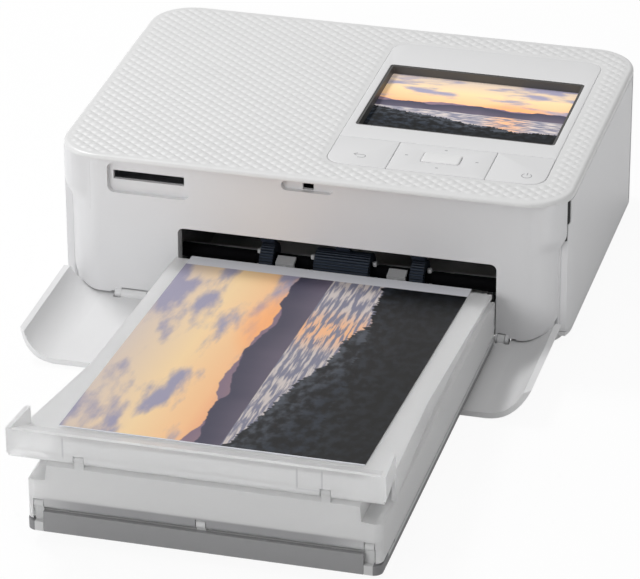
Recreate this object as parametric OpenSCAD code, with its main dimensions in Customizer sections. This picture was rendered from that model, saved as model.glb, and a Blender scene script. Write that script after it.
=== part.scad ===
// Compact dye-sublimation photo printer with its paper cassette in place.
// Millimetres, +Z up, +Y to the back, +X to the right of someone facing the printer.
// Inside the modules y = 0 is the foremost plane of the printer's body; seated() moves
// every piece so that the origin is at the centre of the whole object's footprint.

/* [Body] */
// Width of the printer's body
body_w = 182.2; // [178:0.2:190]
// Depth of the printer's body
body_d = 133; // [130:1:145]
// Height of the printer above the table
body_h = 57.6; // [57:0.2:62]
// Radius of the body's upright corners
corner_r = 16; // [12:1:17]
// Thickness of the casing walls
wall = 2.2; // [1.8:0.1:2.6]
// Thickness of the top cover's plate, from its pocket's underside to the top
lid_plate_t = 2.6; // [2.4:0.1:3]
// Radius of the soft edge round the top
edge_r = 1.6; // [0.8:0.1:2]
// Height of the rubber feet
foot_h = 1.8; // [1.5:0.1:2.2]
// Thickness of the base plate
base_t = 2; // [1.6:0.1:2.4]
// Gap between casing parts that lap or stand side by side
seam = 0.2; // [0.1:0.05:0.3]

/* [Front] */
// Thickness of the fold-down front cover
flap_t = 2; // [1.6:0.1:2.4]
// Radius of the front cover's free corners
flap_r = 11; // [6:1:20]
// Gap between the closed front cover and the front panel
flap_gap = 0.4; // [0.3:0.05:0.6]
// Distance of the side walls' front edges behind the foremost plane
side_edge = 10; // [9:0.5:12]
// Width of the paper mouth
mouth_w = 113.8; // [113.4:0.2:116]
// Height of the mouth's top edge above the table
mouth_top = 31.6; // [30:0.2:34]
// Radius of the mouth's upper corners
mouth_r = 2.2; // [1.4:0.2:8]
// Sideways offset of the paper path from the body's middle
path_x = 10.2; // [8:0.2:12]
// Width of the memory card slot
slot_w = 25.6; // [24.4:0.1:26]
// Height of the memory card slot
slot_h = 3.4; // [2.4:0.1:3.6]
// Height of the card slot's middle above the table
slot_z = 48.7; // [48.3:0.1:49.6]
// Distance of the card slot's middle to the left of the body's middle
slot_x = 57.4; // [54:0.2:58]

/* [Controls] */
// Width of the control panel
panel_w = 77.5; // [76:0.5:79]
// Depth of the control panel
panel_d = 104.5; // [100:0.5:108]
// Thickness of the control panel and its keys
panel_t = 1.6; // [1.2:0.1:1.8]
// Radius of the control panel's corners
panel_r = 6; // [3:0.5:8]
// Width of the display window
window_w = 71.5; // [70:0.5:73]
// Depth of the display window
window_d = 52.5; // [50:0.5:54]
// Length of the keys in front of the display
key_d = 22; // [20:0.5:24]
// Travel of a key at its front edge
key_travel = 0.5; // [0.3:0.05:0.6]
// Width of the middle key, which is the four-way pad
pad_w = 34.6; // [32:0.2:36]

/* [Mechanism] */
// Radius of the exit roller's tyres
exit_r = 6; // [5.6:0.1:6.2]
// Radius of the capstan
capstan_r = 4; // [3.6:0.1:4.2]
// Radius of the platen roller
platen_r = 7; // [6.4:0.1:7.4]
// Radius of the roller shafts
shaft_r = 2.5; // [2:0.1:2.6]
// Radial running clearance of shafts and pins
run_gap = 0.05; // [0.03:0.01:0.1]
// Thickness of the side frames
frame_t = 1.8; // [1.4:0.1:2.2]
// Gear module
gear_m = 0.6; // [0.55:0.05:0.6]
// Width of the gears
gear_w = 4; // [3:0.2:4.2]

/* [Paper cassette] */
// Width of the cassette
cassette_w = 112.8; // [111:0.2:113]
// Length of the cassette inside the body
cassette_in = 30; // [28:1:31]
// Height of the cassette's lower tray
tray_h = 7.2; // [7:0.1:7.6]
// Thickness of the cassette's walls
tray_wall = 1.6; // [1.2:0.1:1.8]
// Slope of the output lid, in degrees
lid_slope = 4.8; // [4:0.1:5]
// Height of the front wall of the output lid
stop_h = 8.6; // [7:0.2:10]
// How far the output lid's left wing stands out beside the tray
wing_l = 7.2; // [5:0.2:8]
// How far its right wing stands out
wing_r = 3; // [2:0.2:6]
// How much wider the cassette is on each side in front of the body
shoulder = 1.5; // [1:0.1:2]
// Height of the tray's outer side walls
side_h = 3.3; // [2.8:0.1:3.6]
// Width of the paper
paper_w = 100; // [98:0.5:101.6]
// Length of a finished print
print_l = 148; // [140:0.5:152]
// Thickness of the paper
paper_t = 0.25; // [0.2:0.01:0.3]

/* [Hidden] */
$fn = 64;
eps = 0.01;

// ---- heights and places worked out from the sizes above ----
cassette_out = print_l + 14;             // length of the cassette in front of the body
front_y = (cassette_out - body_d) / 2;   // the footprint's centre lies at the origin
floor_z = foot_h + base_t;               // top of the base plate
lip_z = body_h - lid_plate_t;            // underside of the top cover's plate
lip_step = 1;                            // the plate is this much thinner in front of the front panel
side_z = floor_z - 0.4;                  // lower edge of the side walls
recess = flap_t + flap_gap;              // the front panel lies this far back
panel_low = 3.5;                         // lower edge of the front panel
block_z = 46;                            // the flush corner blocks start here
collar_d = 5;                            // depth of the collar round the paper mouth
bay_y = recess + collar_d + seam;        // the rails of the cassette bay start here
mouth_l = path_x - mouth_w / 2;
mouth_rt = path_x + mouth_w / 2;
frame_l = mouth_l - 1.7;                 // inner face of the left frame
frame_r = mouth_rt + 2.1;                // inner face of the right frame

// front cover hinge
hinge_y = recess;
hinge_z = 3.2;
hinge_x = body_w / 2 - 21.8;
knuckles = [[-hinge_x + 1.7, -hinge_x + 10.9], [hinge_x - 1.2, hinge_x + 1.2]]; // their ends along X
lug_w = [2.2, 1.2];                      // width of each hinge's outer or left lug
lug_in = 1.2;                            // width of its other lug
knuckle_r = 1.9;
pin_r = 0.8;
flap_low = 0.6;                          // lower edge of the front cover when it is closed
flap_high = lip_z - 0.4;                 // its free edge when it is closed

// ribbon door hinge, an upright barrel flush with the right side
barrel_r = wall;
door_x = body_w / 2 - barrel_r;
door_y = body_d - corner_r - 1;
door_z0 = side_z + 1.5;
door_z1 = lip_z - 0.3;

// control panel
panel_x = 41.25;                         // the panel's middle
panel_y = 15;                            // its front edge
panel_top = body_h - 0.2;
panel_z = panel_top - panel_t;
window_y = panel_y + 32.5;               // the window's front edge
display_z = lip_z - 0.9;                 // top face of the display

// paper cassette
tray_z = floor_z + 0.6;
tray_top = tray_z + tray_h;
half_w = cassette_w / 2;
lift_z = tray_z + 4.1;                   // underside of the lift plate
lift_t = 0.8;
stack_z = lift_z + lift_t;
stack_h = 8 * paper_t;
stack_back = cassette_in - 2;
stack_l = stack_back + cassette_out - 12;
cover_z = tray_top + 0.5;
cover_back = -4;
lid_back = -2;
cover_rise = 8.2;                        // height of the cover's back end
lid_t = 1.5;
lid_z = cover_z + cover_rise + 0.4 + lid_t; // top of the lid's floor at y = 0
slope = tan(lid_slope);
ramp_y = -(print_l + 1);                 // the floor turns up here
stop_z = lid_z + slope * (cassette_out - 1.6) - 4.2; // axis of the lid's hinge
stop_y = -cassette_out + 1.6;
stop_top = stop_z + stop_h;
cover_pin_y = -cassette_out + 2.3;
cover_pin_z = cover_z + 1.6;
cover_pin_r = 0.75;
cover_front = -cassette_out + 0.8;
ridge_y = -cassette_out + 7;             // the cover's top turns down to its front wall here
cover_top = stop_z - 3.4;                // top of the cover's front wall
ear_x = 40;
cover_w = half_w + shoulder;             // half the cover's width
cover_low = tray_z + side_h + 0.5;       // lower edge of its side walls
ledge_z = cover_z + 10.1;                // height of the ledges along its sides
skirt_z = ledge_z + 1;                   // lower edge of the lid's skirts

// rollers: [y, z] of each axis
exit_c = [14.5, stack_z + stack_h + 0.3 + exit_r];
path_z = exit_c[1] + exit_r;
capstan_c = [34, path_z - capstan_r];
pinch_r = 3.5;
pinch_c = [capstan_c[0], path_z + 0.35 + pinch_r];
wheel_r = 3;
wheel_c = [exit_c[0], path_z + 0.35 + wheel_r];
platen_c = [73, path_z - 0.2 - platen_r];
head_c = [108, path_z + 20.6];
thin_r = 1.5;                            // thin shafts and axles

// gear train on the outside of the left frame
capstan_n = 20;
exit_n = 30;
idler_n = 20;
drive_small_n = 14;
drive_large_n = 44;
pinion_n = 12;
mesh_gap = 0.12;                         // added to each pair's centre distance
function gear_r(n) = gear_m * n / 2;
function axis_gap(a, b) = gear_r(a) + gear_r(b) + mesh_gap;
function along(c, d, a) = c + d * [cos(a), sin(a)];
function bearing(a, b) = atan2(b[1] - a[1], b[0] - a[0]);
// phase of a gear with nb teeth that meshes with one of na teeth at phase p, seen along a
function meshed(p, na, nb, a) = a + 180 - ((p - a) * na + 180) / nb;
// where a gear lies that touches two others, at distances da and db from their axes
function third(a, b, da, db) = let(d = norm(b - a), u = (b - a) / d,
    s = (da * da - db * db + d * d) / (2 * d), h = sqrt(da * da - s * s))
    a + s * u + h * [u[1], -u[0]];
idler_c = third(capstan_c, exit_c, axis_gap(capstan_n, idler_n), axis_gap(exit_n, idler_n));
drive_c = along(capstan_c, axis_gap(capstan_n, drive_small_n), 20);
pinion_c = along(drive_c, axis_gap(drive_large_n, pinion_n), -15);
idler_phase = meshed(0, capstan_n, idler_n, bearing(capstan_c, idler_c));
exit_phase = meshed(idler_phase, idler_n, exit_n, bearing(idler_c, exit_c));
drive_phase = meshed(0, capstan_n, drive_small_n, bearing(capstan_c, drive_c));
pinion_phase = meshed(drive_phase, drive_large_n, pinion_n, bearing(drive_c, pinion_c));
frame_out = frame_l - frame_t;           // outer face of the left frame
gear_in = frame_out - 1;                 // inner face of the first gear layer
gear_out = gear_in - gear_w;
layer2_in = gear_out - 0.6;
layer2_out = layer2_in - gear_w;
bracket_x = layer2_out - 0.9;            // inner face of the motor bracket
bracket_t = 1.4;
bracket_h = 35;
motor_r = 12;
motor_l = body_w / 2 - wall + bracket_x - bracket_t - 6.8;

// ribbon cassette: [y, z] of its two spools
supply_c = [53, path_z + 12.4];
takeup_c = [93, path_z + 12.4];
supply_r = 8;
takeup_r = 4;
tube_t = 1;
film_z = path_z + 0.15;

// ---------------------------------------------------------------- helpers

// Moves a piece from the body's own frame to the part's frame.
module seated() {
    translate([0, front_y, 0]) children();
}

// A rectangle with round corners, centred.
module round_rect(w, d, r) {
    square([w - 2 * r, d], center = true);
    square([w, d - 2 * r], center = true);
    for (sx = [-1, 1], sy = [-1, 1])
        translate([sx * (w / 2 - r), sy * (d / 2 - r)]) circle(r);
}

// The body's outline seen from above, moved in by an inset.
module body_plan(inset) {
    translate([0, body_d / 2])
        round_rect(body_w - 2 * inset, body_d - 2 * inset, corner_r - inset);
}

// A band of the casing wall between two heights, t thick, whose outside is moved in by inset.
module wall_band(z0, z1, inset, t) {
    translate([0, 0, z0]) linear_extrude(z1 - z0) difference() {
        body_plan(inset);
        body_plan(inset + t);
    }
}

// A block between two corners.
module block(a, b) {
    translate(a) cube(b - a);
}

// A bar along X between x0 and x1 round the axis c = [y, z].
module rod(x0, x1, c, r) {
    translate([x0, c[0], c[1]]) rotate([0, 90, 0]) cylinder(r = r, h = x1 - x0);
}

// Extrudes a [y, z] outline along X.
module side_cut(x0, x1) {
    translate([x0, 0, 0]) rotate([90, 0, 90]) linear_extrude(x1 - x0) children();
}

// Extrudes an [x, z] outline along Y.
module front_cut(y0, y1) {
    translate([0, y1, 0]) rotate([90, 0, 0]) linear_extrude(y1 - y0) children();
}

// Toothed outline of a gear with n teeth.
function tooth(n, i, a, r) = let(t = (i + a) * 360 / n) r * [cos(t), sin(t)];
module gear_outline(n) {
    r = gear_r(n);
    tip = r + 0.85 * gear_m;
    root = r - 1.2 * gear_m;
    polygon([for (i = [0 : n - 1], k = [[-0.3, root], [-0.22, r], [-0.11, tip],
        [0.11, tip], [0.22, r], [0.3, root]]) tooth(n, i, k[0], k[1])]);
}

// A gear between x0 and x1 on the axis c, turned to its phase and bored.
module gear(n, x0, x1, c, phase, bore) {
    translate([x0, c[0], c[1]]) rotate([90, 0, 90]) difference() {
        rotate([0, 0, phase]) linear_extrude(x1 - x0) gear_outline(n);
        translate([0, 0, -1]) cylinder(r = bore, h = x1 - x0 + 2);
    }
}

// ---------------------------------------------------------------- casing

boss_r = 3;
boss_h = 12;
screw_r = 1.1;
head_r = 2.6;
bosses = [[-body_w / 2 + 41.1, body_d - wall - boss_r + 0.4],
    [body_w / 2 - 29.1, body_d - wall - boss_r + 0.4],
    [-body_w / 2 + wall + boss_r - 0.4, 78]];
inlet_x = -body_w / 2 + 25.1;
inlet_z = floor_z + 6;
slit_w = 2;
slit_h = 11;
slit_step = 4;
board_z = 44.4;                          // underside of the main board
post_y = [24, 96];
board_x = -body_w / 2 + wall + 1;         // the main board's left edge
board_y = [15, 104];                     // its front and rear edges
post_x = -body_w / 2 + wall + 5;
post_r = 3;

module base_plate() color("#d8d8d8") seated() {
    difference() {
        translate([0, 0, foot_h]) linear_extrude(base_t) intersection() {
            body_plan(wall + seam);
            translate([-body_w / 2, bay_y]) square([body_w, body_d]);
        }
        for (b = bosses) translate([b[0], b[1], 0]) {
            cylinder(r = screw_r + 0.2, h = 20);
            cylinder(r = head_r + 0.3, h = foot_h + 1.2);
        }
        // air slits under the boards
        for (i = [0 : 8]) translate([board_x + 10 + i * slit_step, 96, 0])
            cube([slit_w, 16, 9]);
        // the door's hinge lug reaches down past the plate's edge
        translate([door_x, door_y, 0]) cylinder(r = barrel_r + 0.3, h = 20);
    }
    for (y = post_y) translate([post_x, y, floor_z]) cylinder(r = post_r, h = board_z - floor_z);
    // rails and side guides of the cassette bay
    for (s = [-1, 1]) {
        block([path_x + s * (half_w - 7) - 1, bay_y, floor_z], [path_x + s * (half_w - 7) + 1, 30, tray_z - 0.3]);
        block([path_x + s * (half_w + 1) - 0.6, bay_y, floor_z], [path_x + s * (half_w + 1) + 0.6, 30, tray_z + 4]);
    }
}

module rubber_feet() color("#4a4a4a") seated() {
    for (s = [-1, 1], y = [17, body_d - 12]) translate([s * (body_w / 2 - 15.1), y, 0]) {
        cylinder(r1 = 4.6, r2 = 5, h = 0.5);
        translate([0, 0, 0.5]) cylinder(r = 5, h = foot_h - 0.5);
    }
}

module case_shell() color("#e8e8e8") seated() {
    difference() {
        union() {
            wall_band(side_z, lip_z, 0, wall);
            for (b = bosses) translate([b[0], b[1], floor_z]) cylinder(r = boss_r, h = boss_h);
            intersection() {
                translate([door_x, door_y, side_z]) cylinder(r = barrel_r, h = 3);
                translate([0, 0, side_z]) linear_extrude(door_z0 - seam - side_z) body_plan(0);
            }
        }
        block([-body_w, -1, 0], [body_w, side_edge, body_h]);
        block([60, 0, door_z0 - seam], [body_w, door_y + barrel_r + 0.4, body_h]);
        for (b = bosses) translate([b[0], b[1], 0]) cylinder(r = screw_r + run_gap, h = floor_z + 10);
        translate([door_x, door_y, 0]) cylinder(r = pin_r, h = 10);
        // rear: paper slot, power inlet and air slits
        block([path_x - 53, body_d - 9, path_z - 1.5], [path_x + 53, body_d + 1, path_z + 4.2]);
        translate([inlet_x, body_d + 1, inlet_z]) rotate([90, 0, 0]) cylinder(r = 4.9, h = 6);
        for (i = [0 : 17]) translate([-34 + i * slit_step, body_d - 4, 34])
            block([0, 0, 0], [slit_w, 6, slit_h]);
        // left side: air slits
        for (i = [0 : 9]) translate([-body_w / 2 - 1, 66 + i * slit_step, 26])
            block([0, 0, 0], [wall + 2, slit_w, slit_h]);
    }
}

// The top cover's plate, whose upper edge turns down in short bevels along an arc.
module pillow(w, d, h, r, e) {
    arc = [for (a = [0 : 15 : 90]) [e * cos(a) - e, h - e + e * sin(a)]];
    back = [for (a = [90 : -15 : 0]) [e * cos(a) - e, h - e + e * sin(a)]];
    for (k = [[w / 2 - r, d / 2, 90], [d / 2 - r, w / 2, 0]])
        rotate([0, 0, k[2]]) translate([0, k[0], 0]) rotate([90, 0, 0]) linear_extrude(2 * k[0])
            polygon(concat([[-k[1], 0], [k[1], 0]], [for (p = arc) [k[1] + p[0], p[1]]],
                [for (p = back) [-k[1] - p[0], p[1]]]));
    for (sx = [-1, 1], sy = [-1, 1]) translate([sx * (w / 2 - r), sy * (d / 2 - r), 0])
        rotate_extrude() polygon(concat([[0, 0], [r, 0]], [for (p = arc) [r + p[0], p[1]]], [[0, h]]));
}

module panel_plan(grow) {
    translate([panel_x, panel_y + panel_d / 2])
        round_rect(panel_w + 2 * grow, panel_d + 2 * grow, panel_r + grow);
}

module window_plan(grow) {
    translate([panel_x, window_y + window_d / 2])
        round_rect(window_w + 2 * grow, window_d + 2 * grow, max(1.6 + grow, 0.4));
}

key_board_z = 52.5;                      // top face of the key board
key_posts = [[panel_x - 33, panel_y + key_d + 3], [panel_x + 33, panel_y + key_d + 3]];

module top_cover() color("#f2f2f2") seated() {
    difference() {
        union() {
            translate([0, body_d / 2, lip_z])
                pillow(body_w, body_d, lid_plate_t, corner_r, edge_r);
            // rim that locates the cover inside the walls
            difference() {
                wall_band(lip_z - 2, lip_z, wall + seam, 1.4);
                block([-body_w, 0, 0], [body_w, side_edge + 4.5, body_h]);
                block([0, door_y - 4, 0], [body_w, door_y + 4, body_h]);
            }
            // ledge that the display is fixed under
            translate([0, 0, display_z]) linear_extrude(panel_z - display_z) window_plan(2.5);
            for (p = key_posts) translate([p[0], p[1], key_board_z])
                cylinder(r = 2, h = lip_z - key_board_z);
        }
        // the overhang in front of the front panel is thinner
        translate([0, 0, lip_z - 1]) linear_extrude(1 + lip_step) difference() {
            translate([-body_w, -1]) square([2 * body_w, side_edge - 4]);
            body_plan(recess);
        }
        translate([0, 0, panel_z]) linear_extrude(5) panel_plan(seam);
        translate([0, 0, display_z - 1]) linear_extrude(5) window_plan(seam);
        translate([0, 0, lip_z - 1]) linear_extrude(5) intersection() {
            panel_plan(0);
            union() {
                translate([0, panel_y]) square([2 * panel_w, key_d - 2.5]);
                translate([pad_l, panel_y]) square([pad_w, key_d - 0.1]);
            }
        }
        translate([door_x, door_y, lip_z - 1]) cylinder(r = pin_r, h = 2.2);
    }
}

// A part of the control panel's outline between two depths and two widths.
module panel_piece(x0, x1, y0, y1, h) {
    translate([0, 0, panel_top - h]) linear_extrude(h) intersection() {
        panel_plan(0);
        translate([x0, y0]) square([x1 - x0, y1 - y0]);
    }
}

key_y1 = panel_y + key_d;
key_t = panel_t - 0.2;
pad_l = panel_x + 0.75 - pad_w / 2;
pad_rt = panel_x + 0.75 + pad_w / 2;
ok_c = [panel_x + 0.35, panel_y + 12.2];
ok_size = [13.8, 7.8];
stem_low = key_board_z + key_travel + 0.5;

module key_stem(x, y) {
    translate([x, y, stem_low]) cylinder(r = 1.5, h = panel_top - key_t - stem_low + eps);
}

module control_panel() color("#ececec") seated() difference() {
    panel_piece(0, 100, key_y1, body_d, panel_t);
    translate([0, 0, 50]) linear_extrude(20) window_plan(0);
}

module menu_key() color("#ececec") seated() {
    panel_piece(0, pad_l - seam, 0, key_y1 - seam, key_t);
    key_stem(pad_l - 11, panel_y + 9);
}

module power_key() color("#ececec") seated() {
    panel_piece(pad_rt + seam, 100, 0, key_y1 - seam, key_t);
    key_stem(pad_rt + 10, panel_y + 9);
}

module pad_key() color("#ececec") seated() {
    difference() {
        panel_piece(pad_l, pad_rt, 0, key_y1 - seam, key_t);
        translate([ok_c[0], ok_c[1], 50]) linear_extrude(20) round_rect(ok_size[0], ok_size[1], 1.2);
    }
    for (s = [-1, 1]) key_stem(ok_c[0] + s * 12, ok_c[1]);
}

module ok_key() color("#f4f4f4") seated() {
    translate([ok_c[0], ok_c[1], panel_top - key_t]) linear_extrude(key_t + 0.3)
        round_rect(ok_size[0] - 2 * seam, ok_size[1] - 2 * seam, 1);
    key_stem(ok_c[0], ok_c[1]);
}

module display_bezel() color("#3c3e42") seated() {
    translate([0, 0, display_z]) linear_extrude(panel_top - 0.3 - display_z) difference() {
        window_plan(-0.1);
        window_plan(-0.9);
    }
}

module display_module() color("#4c5a78") seated() {
    difference() {
        translate([0, 0, display_z - 3.9]) linear_extrude(3.9) window_plan(2.5);
        translate([0, 0, display_z - 5]) linear_extrude(2.4) window_plan(-3);
    }
}

module key_board() color("#2f6b45") seated() {
    block([panel_x - 36, panel_y + 3, key_board_z - 1.6], [panel_x + 36, window_y - 3, key_board_z]);
    for (x = [pad_l - 11, ok_c[0] - 12, ok_c[0], ok_c[0] + 12, pad_rt + 10])
        block([x - 2, (x > pad_l && x < pad_rt ? ok_c[1] : panel_y + 9) - 2, key_board_z],
            [x + 2, (x > pad_l && x < pad_rt ? ok_c[1] : panel_y + 9) + 2, key_board_z + 0.4]);
}

module mouth_plan(grow) {
    translate([path_x, (mouth_top + grow) / 2 - 10])
        round_rect(mouth_w + 2 * grow, mouth_top + grow + 20, mouth_r + grow);
}

scoop_z = [slot_z - 6.1, slot_z + 5.3];   // lower and upper edge of the card slot's scoop
latch_z = lip_z - 2.2;
latch_h = 3.6;                           // height of the latch's scoop

module front_panel() color("#dedede") seated() {
    difference() {
        union() {
            intersection() {
                wall_band(panel_low, lip_z, recess, wall);
                front_cut(-1, side_edge + 4) translate([0, 50 + panel_low])
                    round_rect(body_w - 2 * recess, 100, 13);
            }
            // blocks at the upper corners, flush with the side walls
            intersection() {
                wall_band(block_z, lip_z, 0, recess + wall);
                union() for (s = [-1, 1])
                    block([s * (body_w / 2 - 4.1) - 4, side_edge - 5, 0],
                        [s * (body_w / 2 - 4.1) + 5, side_edge - 0.3, body_h]);
            }
            // the wall is thicker behind the card slot and the latch
            block([-slot_x - slot_w / 2 - 4, recess, scoop_z[0] - 1.5],
                [-slot_x + slot_w / 2 + 4, recess + 3.4, lip_z]);
            block([-11.5, recess, latch_z - 4.2], [11.5, recess + 3.4, lip_z]);
            // inner skirt that closes the rounded lower corners
            intersection() {
                wall_band(floor_z + 0.6, 24, recess + wall - eps, 1.2);
                for (s = [-1, 1]) block([s * (body_w / 2 - 10) - 12, 0, 0],
                    [s * (body_w / 2 - 10) + 12, side_edge + 4, body_h]);
            }
            // collar round the paper mouth
            intersection() {
                front_cut(recess, recess + collar_d) mouth_plan(1.4);
                block([-body_w, 0, panel_low], [body_w, 20, mouth_top + 3]);
            }
            // hinge lugs either side of each knuckle
            for (i = [0, 1]) let(k = knuckles[i]) {
                hinge_lug(k[0] - seam - lug_w[i], k[0] - seam);
                hinge_lug(k[1] + seam, k[1] + seam + lug_in);
            }
        }
        front_cut(-1, 20) mouth_plan(0);
        // card slot in its shallow scoop
        front_cut(-1, recess + 2) translate([-slot_x + 0.3, (scoop_z[0] + scoop_z[1]) / 2])
            round_rect(slot_w + 4.1, scoop_z[1] - scoop_z[0], 2.5);
        front_cut(-1, 20) translate([-slot_x, slot_z]) square([slot_w, slot_h], center = true);
        // latch: a stadium scoop with a hole through it
        front_cut(-1, recess + 2) translate([0, latch_z]) round_rect(18.4, latch_h, latch_h / 2 - eps);
        front_cut(-1, 20) translate([0, latch_z]) square([3.9, latch_h - 0.4], center = true);
        // room for the front cover's knuckles and their pins
        for (k = knuckles) {
            rod(k[0] - seam, k[1] + seam, [hinge_y, hinge_z], knuckle_r + 0.4);
            rod(k[0] - 4, k[1] + 4, [hinge_y, hinge_z], pin_r);
        }
    }
}

// A lug of the front cover's hinge between two places along X.
module hinge_lug(x0, x1) {
    rod(x0, x1, [hinge_y + 0.4, hinge_z], knuckle_r);
    block([x0, hinge_y, hinge_z], [x1, hinge_y + wall, panel_low + 1]);
}

notch_d = 2.4;                           // depth of its notches past the hinge's axis

// Lays the front cover, drawn closed and upright, open on its hinge.
module laid_open() {
    translate([0, hinge_y, hinge_z]) rotate([90, 0, 0]) translate([0, -hinge_y, -hinge_z]) children();
}

module front_cover() color("#ededed") seated() laid_open() {
    difference() {
        intersection() {
            wall_band(flap_low, flap_high, 0, flap_t);
            block([-body_w, -1, 0], [body_w, side_edge - 0.4, body_h]);
            front_cut(-1, side_edge) translate([0, flap_high - 60])
                round_rect(body_w, 120, flap_r);
        }
        // notches round the hinge lugs
        for (i = [0, 1]) let(k = knuckles[i]) block([k[0] - 2 * seam - lug_w[i] - 0.2, -1, 0],
            [k[1] + 2 * seam + lug_in + 0.2, 20, hinge_z + notch_d]);
    }
    for (k = knuckles) difference() {
        union() {
            rod(k[0], k[1], [hinge_y, hinge_z], knuckle_r);
            block([k[0], 0, hinge_z], [k[1], flap_t, hinge_z + notch_d + 0.2]);
            block([k[0], 0.5, hinge_z], [k[1], hinge_y, hinge_z + 1.5]);
        }
        rod(k[0] - 1, k[1] + 1, [hinge_y, hinge_z], pin_r + run_gap);
    }
}

module cover_hinge_pins() color("#b8b8b8") seated() {
    for (k = knuckles) rod(k[0] - seam - lug_in, k[1] + seam + lug_in, [hinge_y, hinge_z], pin_r);
}

// The door seen from the side: above the corner block's lower edge its front edge steps back,
// round a small curve, and leaves a gap for a fingertip.
grip_gap = 2.2;
grip_r = 1.2;
module door_outline() difference() {
    square([body_d, body_h]);
    polygon(concat([[0, body_h], [0, block_z]],
        [for (a = [-90 : 15 : 0]) [side_edge + grip_gap - grip_r + grip_r * cos(a),
            block_z + grip_r + grip_r * sin(a)]],
        [[side_edge + grip_gap, body_h]]));
}

module ribbon_door() color("#e6e6e6") seated() difference() {
    union() {
        intersection() {
            wall_band(door_z0, door_z1, 0, wall);
            block([60, side_edge + 0.5, 0], [body_w, door_y, body_h]);
            side_cut(60, body_w) door_outline();
        }
        translate([door_x, door_y, door_z0]) cylinder(r = barrel_r, h = door_z1 - door_z0);
        // stiffening ribs inside
        for (z = [14, 30, 46]) block([door_x - 1.4, 22, z], [door_x + 0.2, door_y - 6, z + 1.2]);
    }
    translate([door_x, door_y, 0]) cylinder(r = pin_r + run_gap, h = body_h);
}

module door_hinge_pin() color("#b8b8b8") seated()
    translate([door_x, door_y, side_z]) cylinder(r = pin_r, h = lip_z + 1 - side_z);

module case_screws() color("#8a8a8a") seated() for (b = bosses) translate([b[0], b[1], foot_h]) {
    difference() {
        cylinder(r = head_r, h = 1.2);
        for (a = [0, 90]) rotate([0, 0, a]) translate([0, 0, 0.2]) cube([3, 0.7, 0.9], center = true);
    }
    translate([0, 0, 1.2]) cylinder(r = screw_r, h = 9.5);
}

// ---------------------------------------------------------------- chassis and boards

frame_y = [8, 112];
right_top = 49.4;
window_r = [42, 104, path_z + 2, path_z + 22.6];   // ribbon window in the right frame
head_shaft_r = 2;
module frame_bores(x0, x1) {
    for (c = [exit_c, capstan_c, platen_c]) rod(x0, x1, c, shaft_r + run_gap);
    for (c = [pinch_c, wheel_c]) rod(x0, x1, c, thin_r + run_gap);
    rod(x0, x1, head_c, head_shaft_r);
}

module left_frame() color("#a9adb1") seated() {
    difference() {
        block([frame_out, frame_y[0], floor_z], [frame_l, frame_y[1], board_z]);
        frame_bores(frame_out - 1, frame_l + 1);
    }
    block([frame_out - 6, frame_y[1] - 26, floor_z], [frame_out + eps, frame_y[1] - 8, floor_z + 1.4]);
    for (c = [idler_c, drive_c])
        rod(c == idler_c ? gear_out - 0.4 : layer2_out - 0.4, frame_out + eps, c, thin_r);
}

module right_frame() color("#a9adb1") seated() {
    difference() {
        block([frame_r, frame_y[0], floor_z], [frame_r + frame_t, frame_y[1], right_top]);
        frame_bores(frame_r - 1, frame_r + frame_t + 1);
        block([frame_r - 1, window_r[0], window_r[2]], [frame_r + frame_t + 1, window_r[1], window_r[3]]);
    }
    for (y = [frame_y[0] + 6, frame_y[1] - 26])
        block([frame_r + frame_t - eps, y, floor_z], [frame_r + frame_t + 8, y + 16, floor_z + 1.4]);
}

module cross_tie() color("#a9adb1") seated() side_cut(frame_l, frame_r) polygon([
    [84, path_z - 1.2], [body_d - wall - 1, path_z - 1.2], [body_d - wall - 1, path_z - 2.4],
    [frame_y[1], path_z - 2.4], [frame_y[1], floor_z], [frame_y[1] - 1.4, floor_z],
    [frame_y[1] - 1.4, path_z - 2.4], [84, path_z - 2.4]]);

module main_board() color("#2f6b45") seated() {
    block([board_x, board_y[0], board_z], [frame_l, board_y[1], board_z + 1.6]);
    for (p = [[8, 50, 12, 12, 1.2], [26, 70, 9, 14, 1.4], [6, 84, 8, 6, 3], [22, 90, 12, 8, 4]])
        translate([board_x + p[0], p[1], board_z + 1.6]) cube([p[2], p[3], p[4]]);
}

module card_reader() color("#9ea3a8") seated() difference() {
    block([-slot_x - slot_w / 2 - 1.2, recess + 3.7, board_z + 1.6], [-slot_x + slot_w / 2 + 1.2, 36, 53.4]);
    block([-slot_x - slot_w / 2, 0, slot_z - slot_h / 2], [-slot_x + slot_w / 2, 33, slot_z + slot_h / 2]);
}

module power_inlet() color("#26272a") seated() difference() {
    union() {
        block([inlet_x - 5.5, body_d - wall - 13, floor_z], [inlet_x + 5.5, body_d - wall - 0.3, inlet_z + 6]);
        translate([inlet_x, body_d - 0.6, inlet_z]) rotate([90, 0, 0]) cylinder(r = 4.6, h = 4);
    }
    translate([inlet_x, body_d + 1, inlet_z]) rotate([90, 0, 0]) difference() {
        cylinder(r = 2.75, h = 10.6);
        cylinder(r = 0.85, h = 20);
    }
}

// ---------------------------------------------------------------- rollers and gears

tyre_x = [-27, 0, 27];
tyre_w = [4.8, 19.6, 4.8];
shaft_end = frame_r + frame_t + 0.8;

module exit_shaft() color("#c4c7ca") seated() {
    rod(gear_out, shaft_end, exit_c, shaft_r);
    for (i = [0 : 2], s = [-1, 1]) let(x = path_x + tyre_x[i] + s * (tyre_w[i] / 2 + 0.7))
        rod(x - 0.5, x + 0.5, exit_c, shaft_r + 1.4);
}

module exit_tyres() color("#232c3a") seated() for (i = [0 : 2]) difference() {
    rod(path_x + tyre_x[i] - tyre_w[i] / 2, path_x + tyre_x[i] + tyre_w[i] / 2, exit_c, exit_r);
    rod(path_x + tyre_x[i] - 20, path_x + tyre_x[i] + 20, exit_c, shaft_r + 0.02);
}

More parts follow.
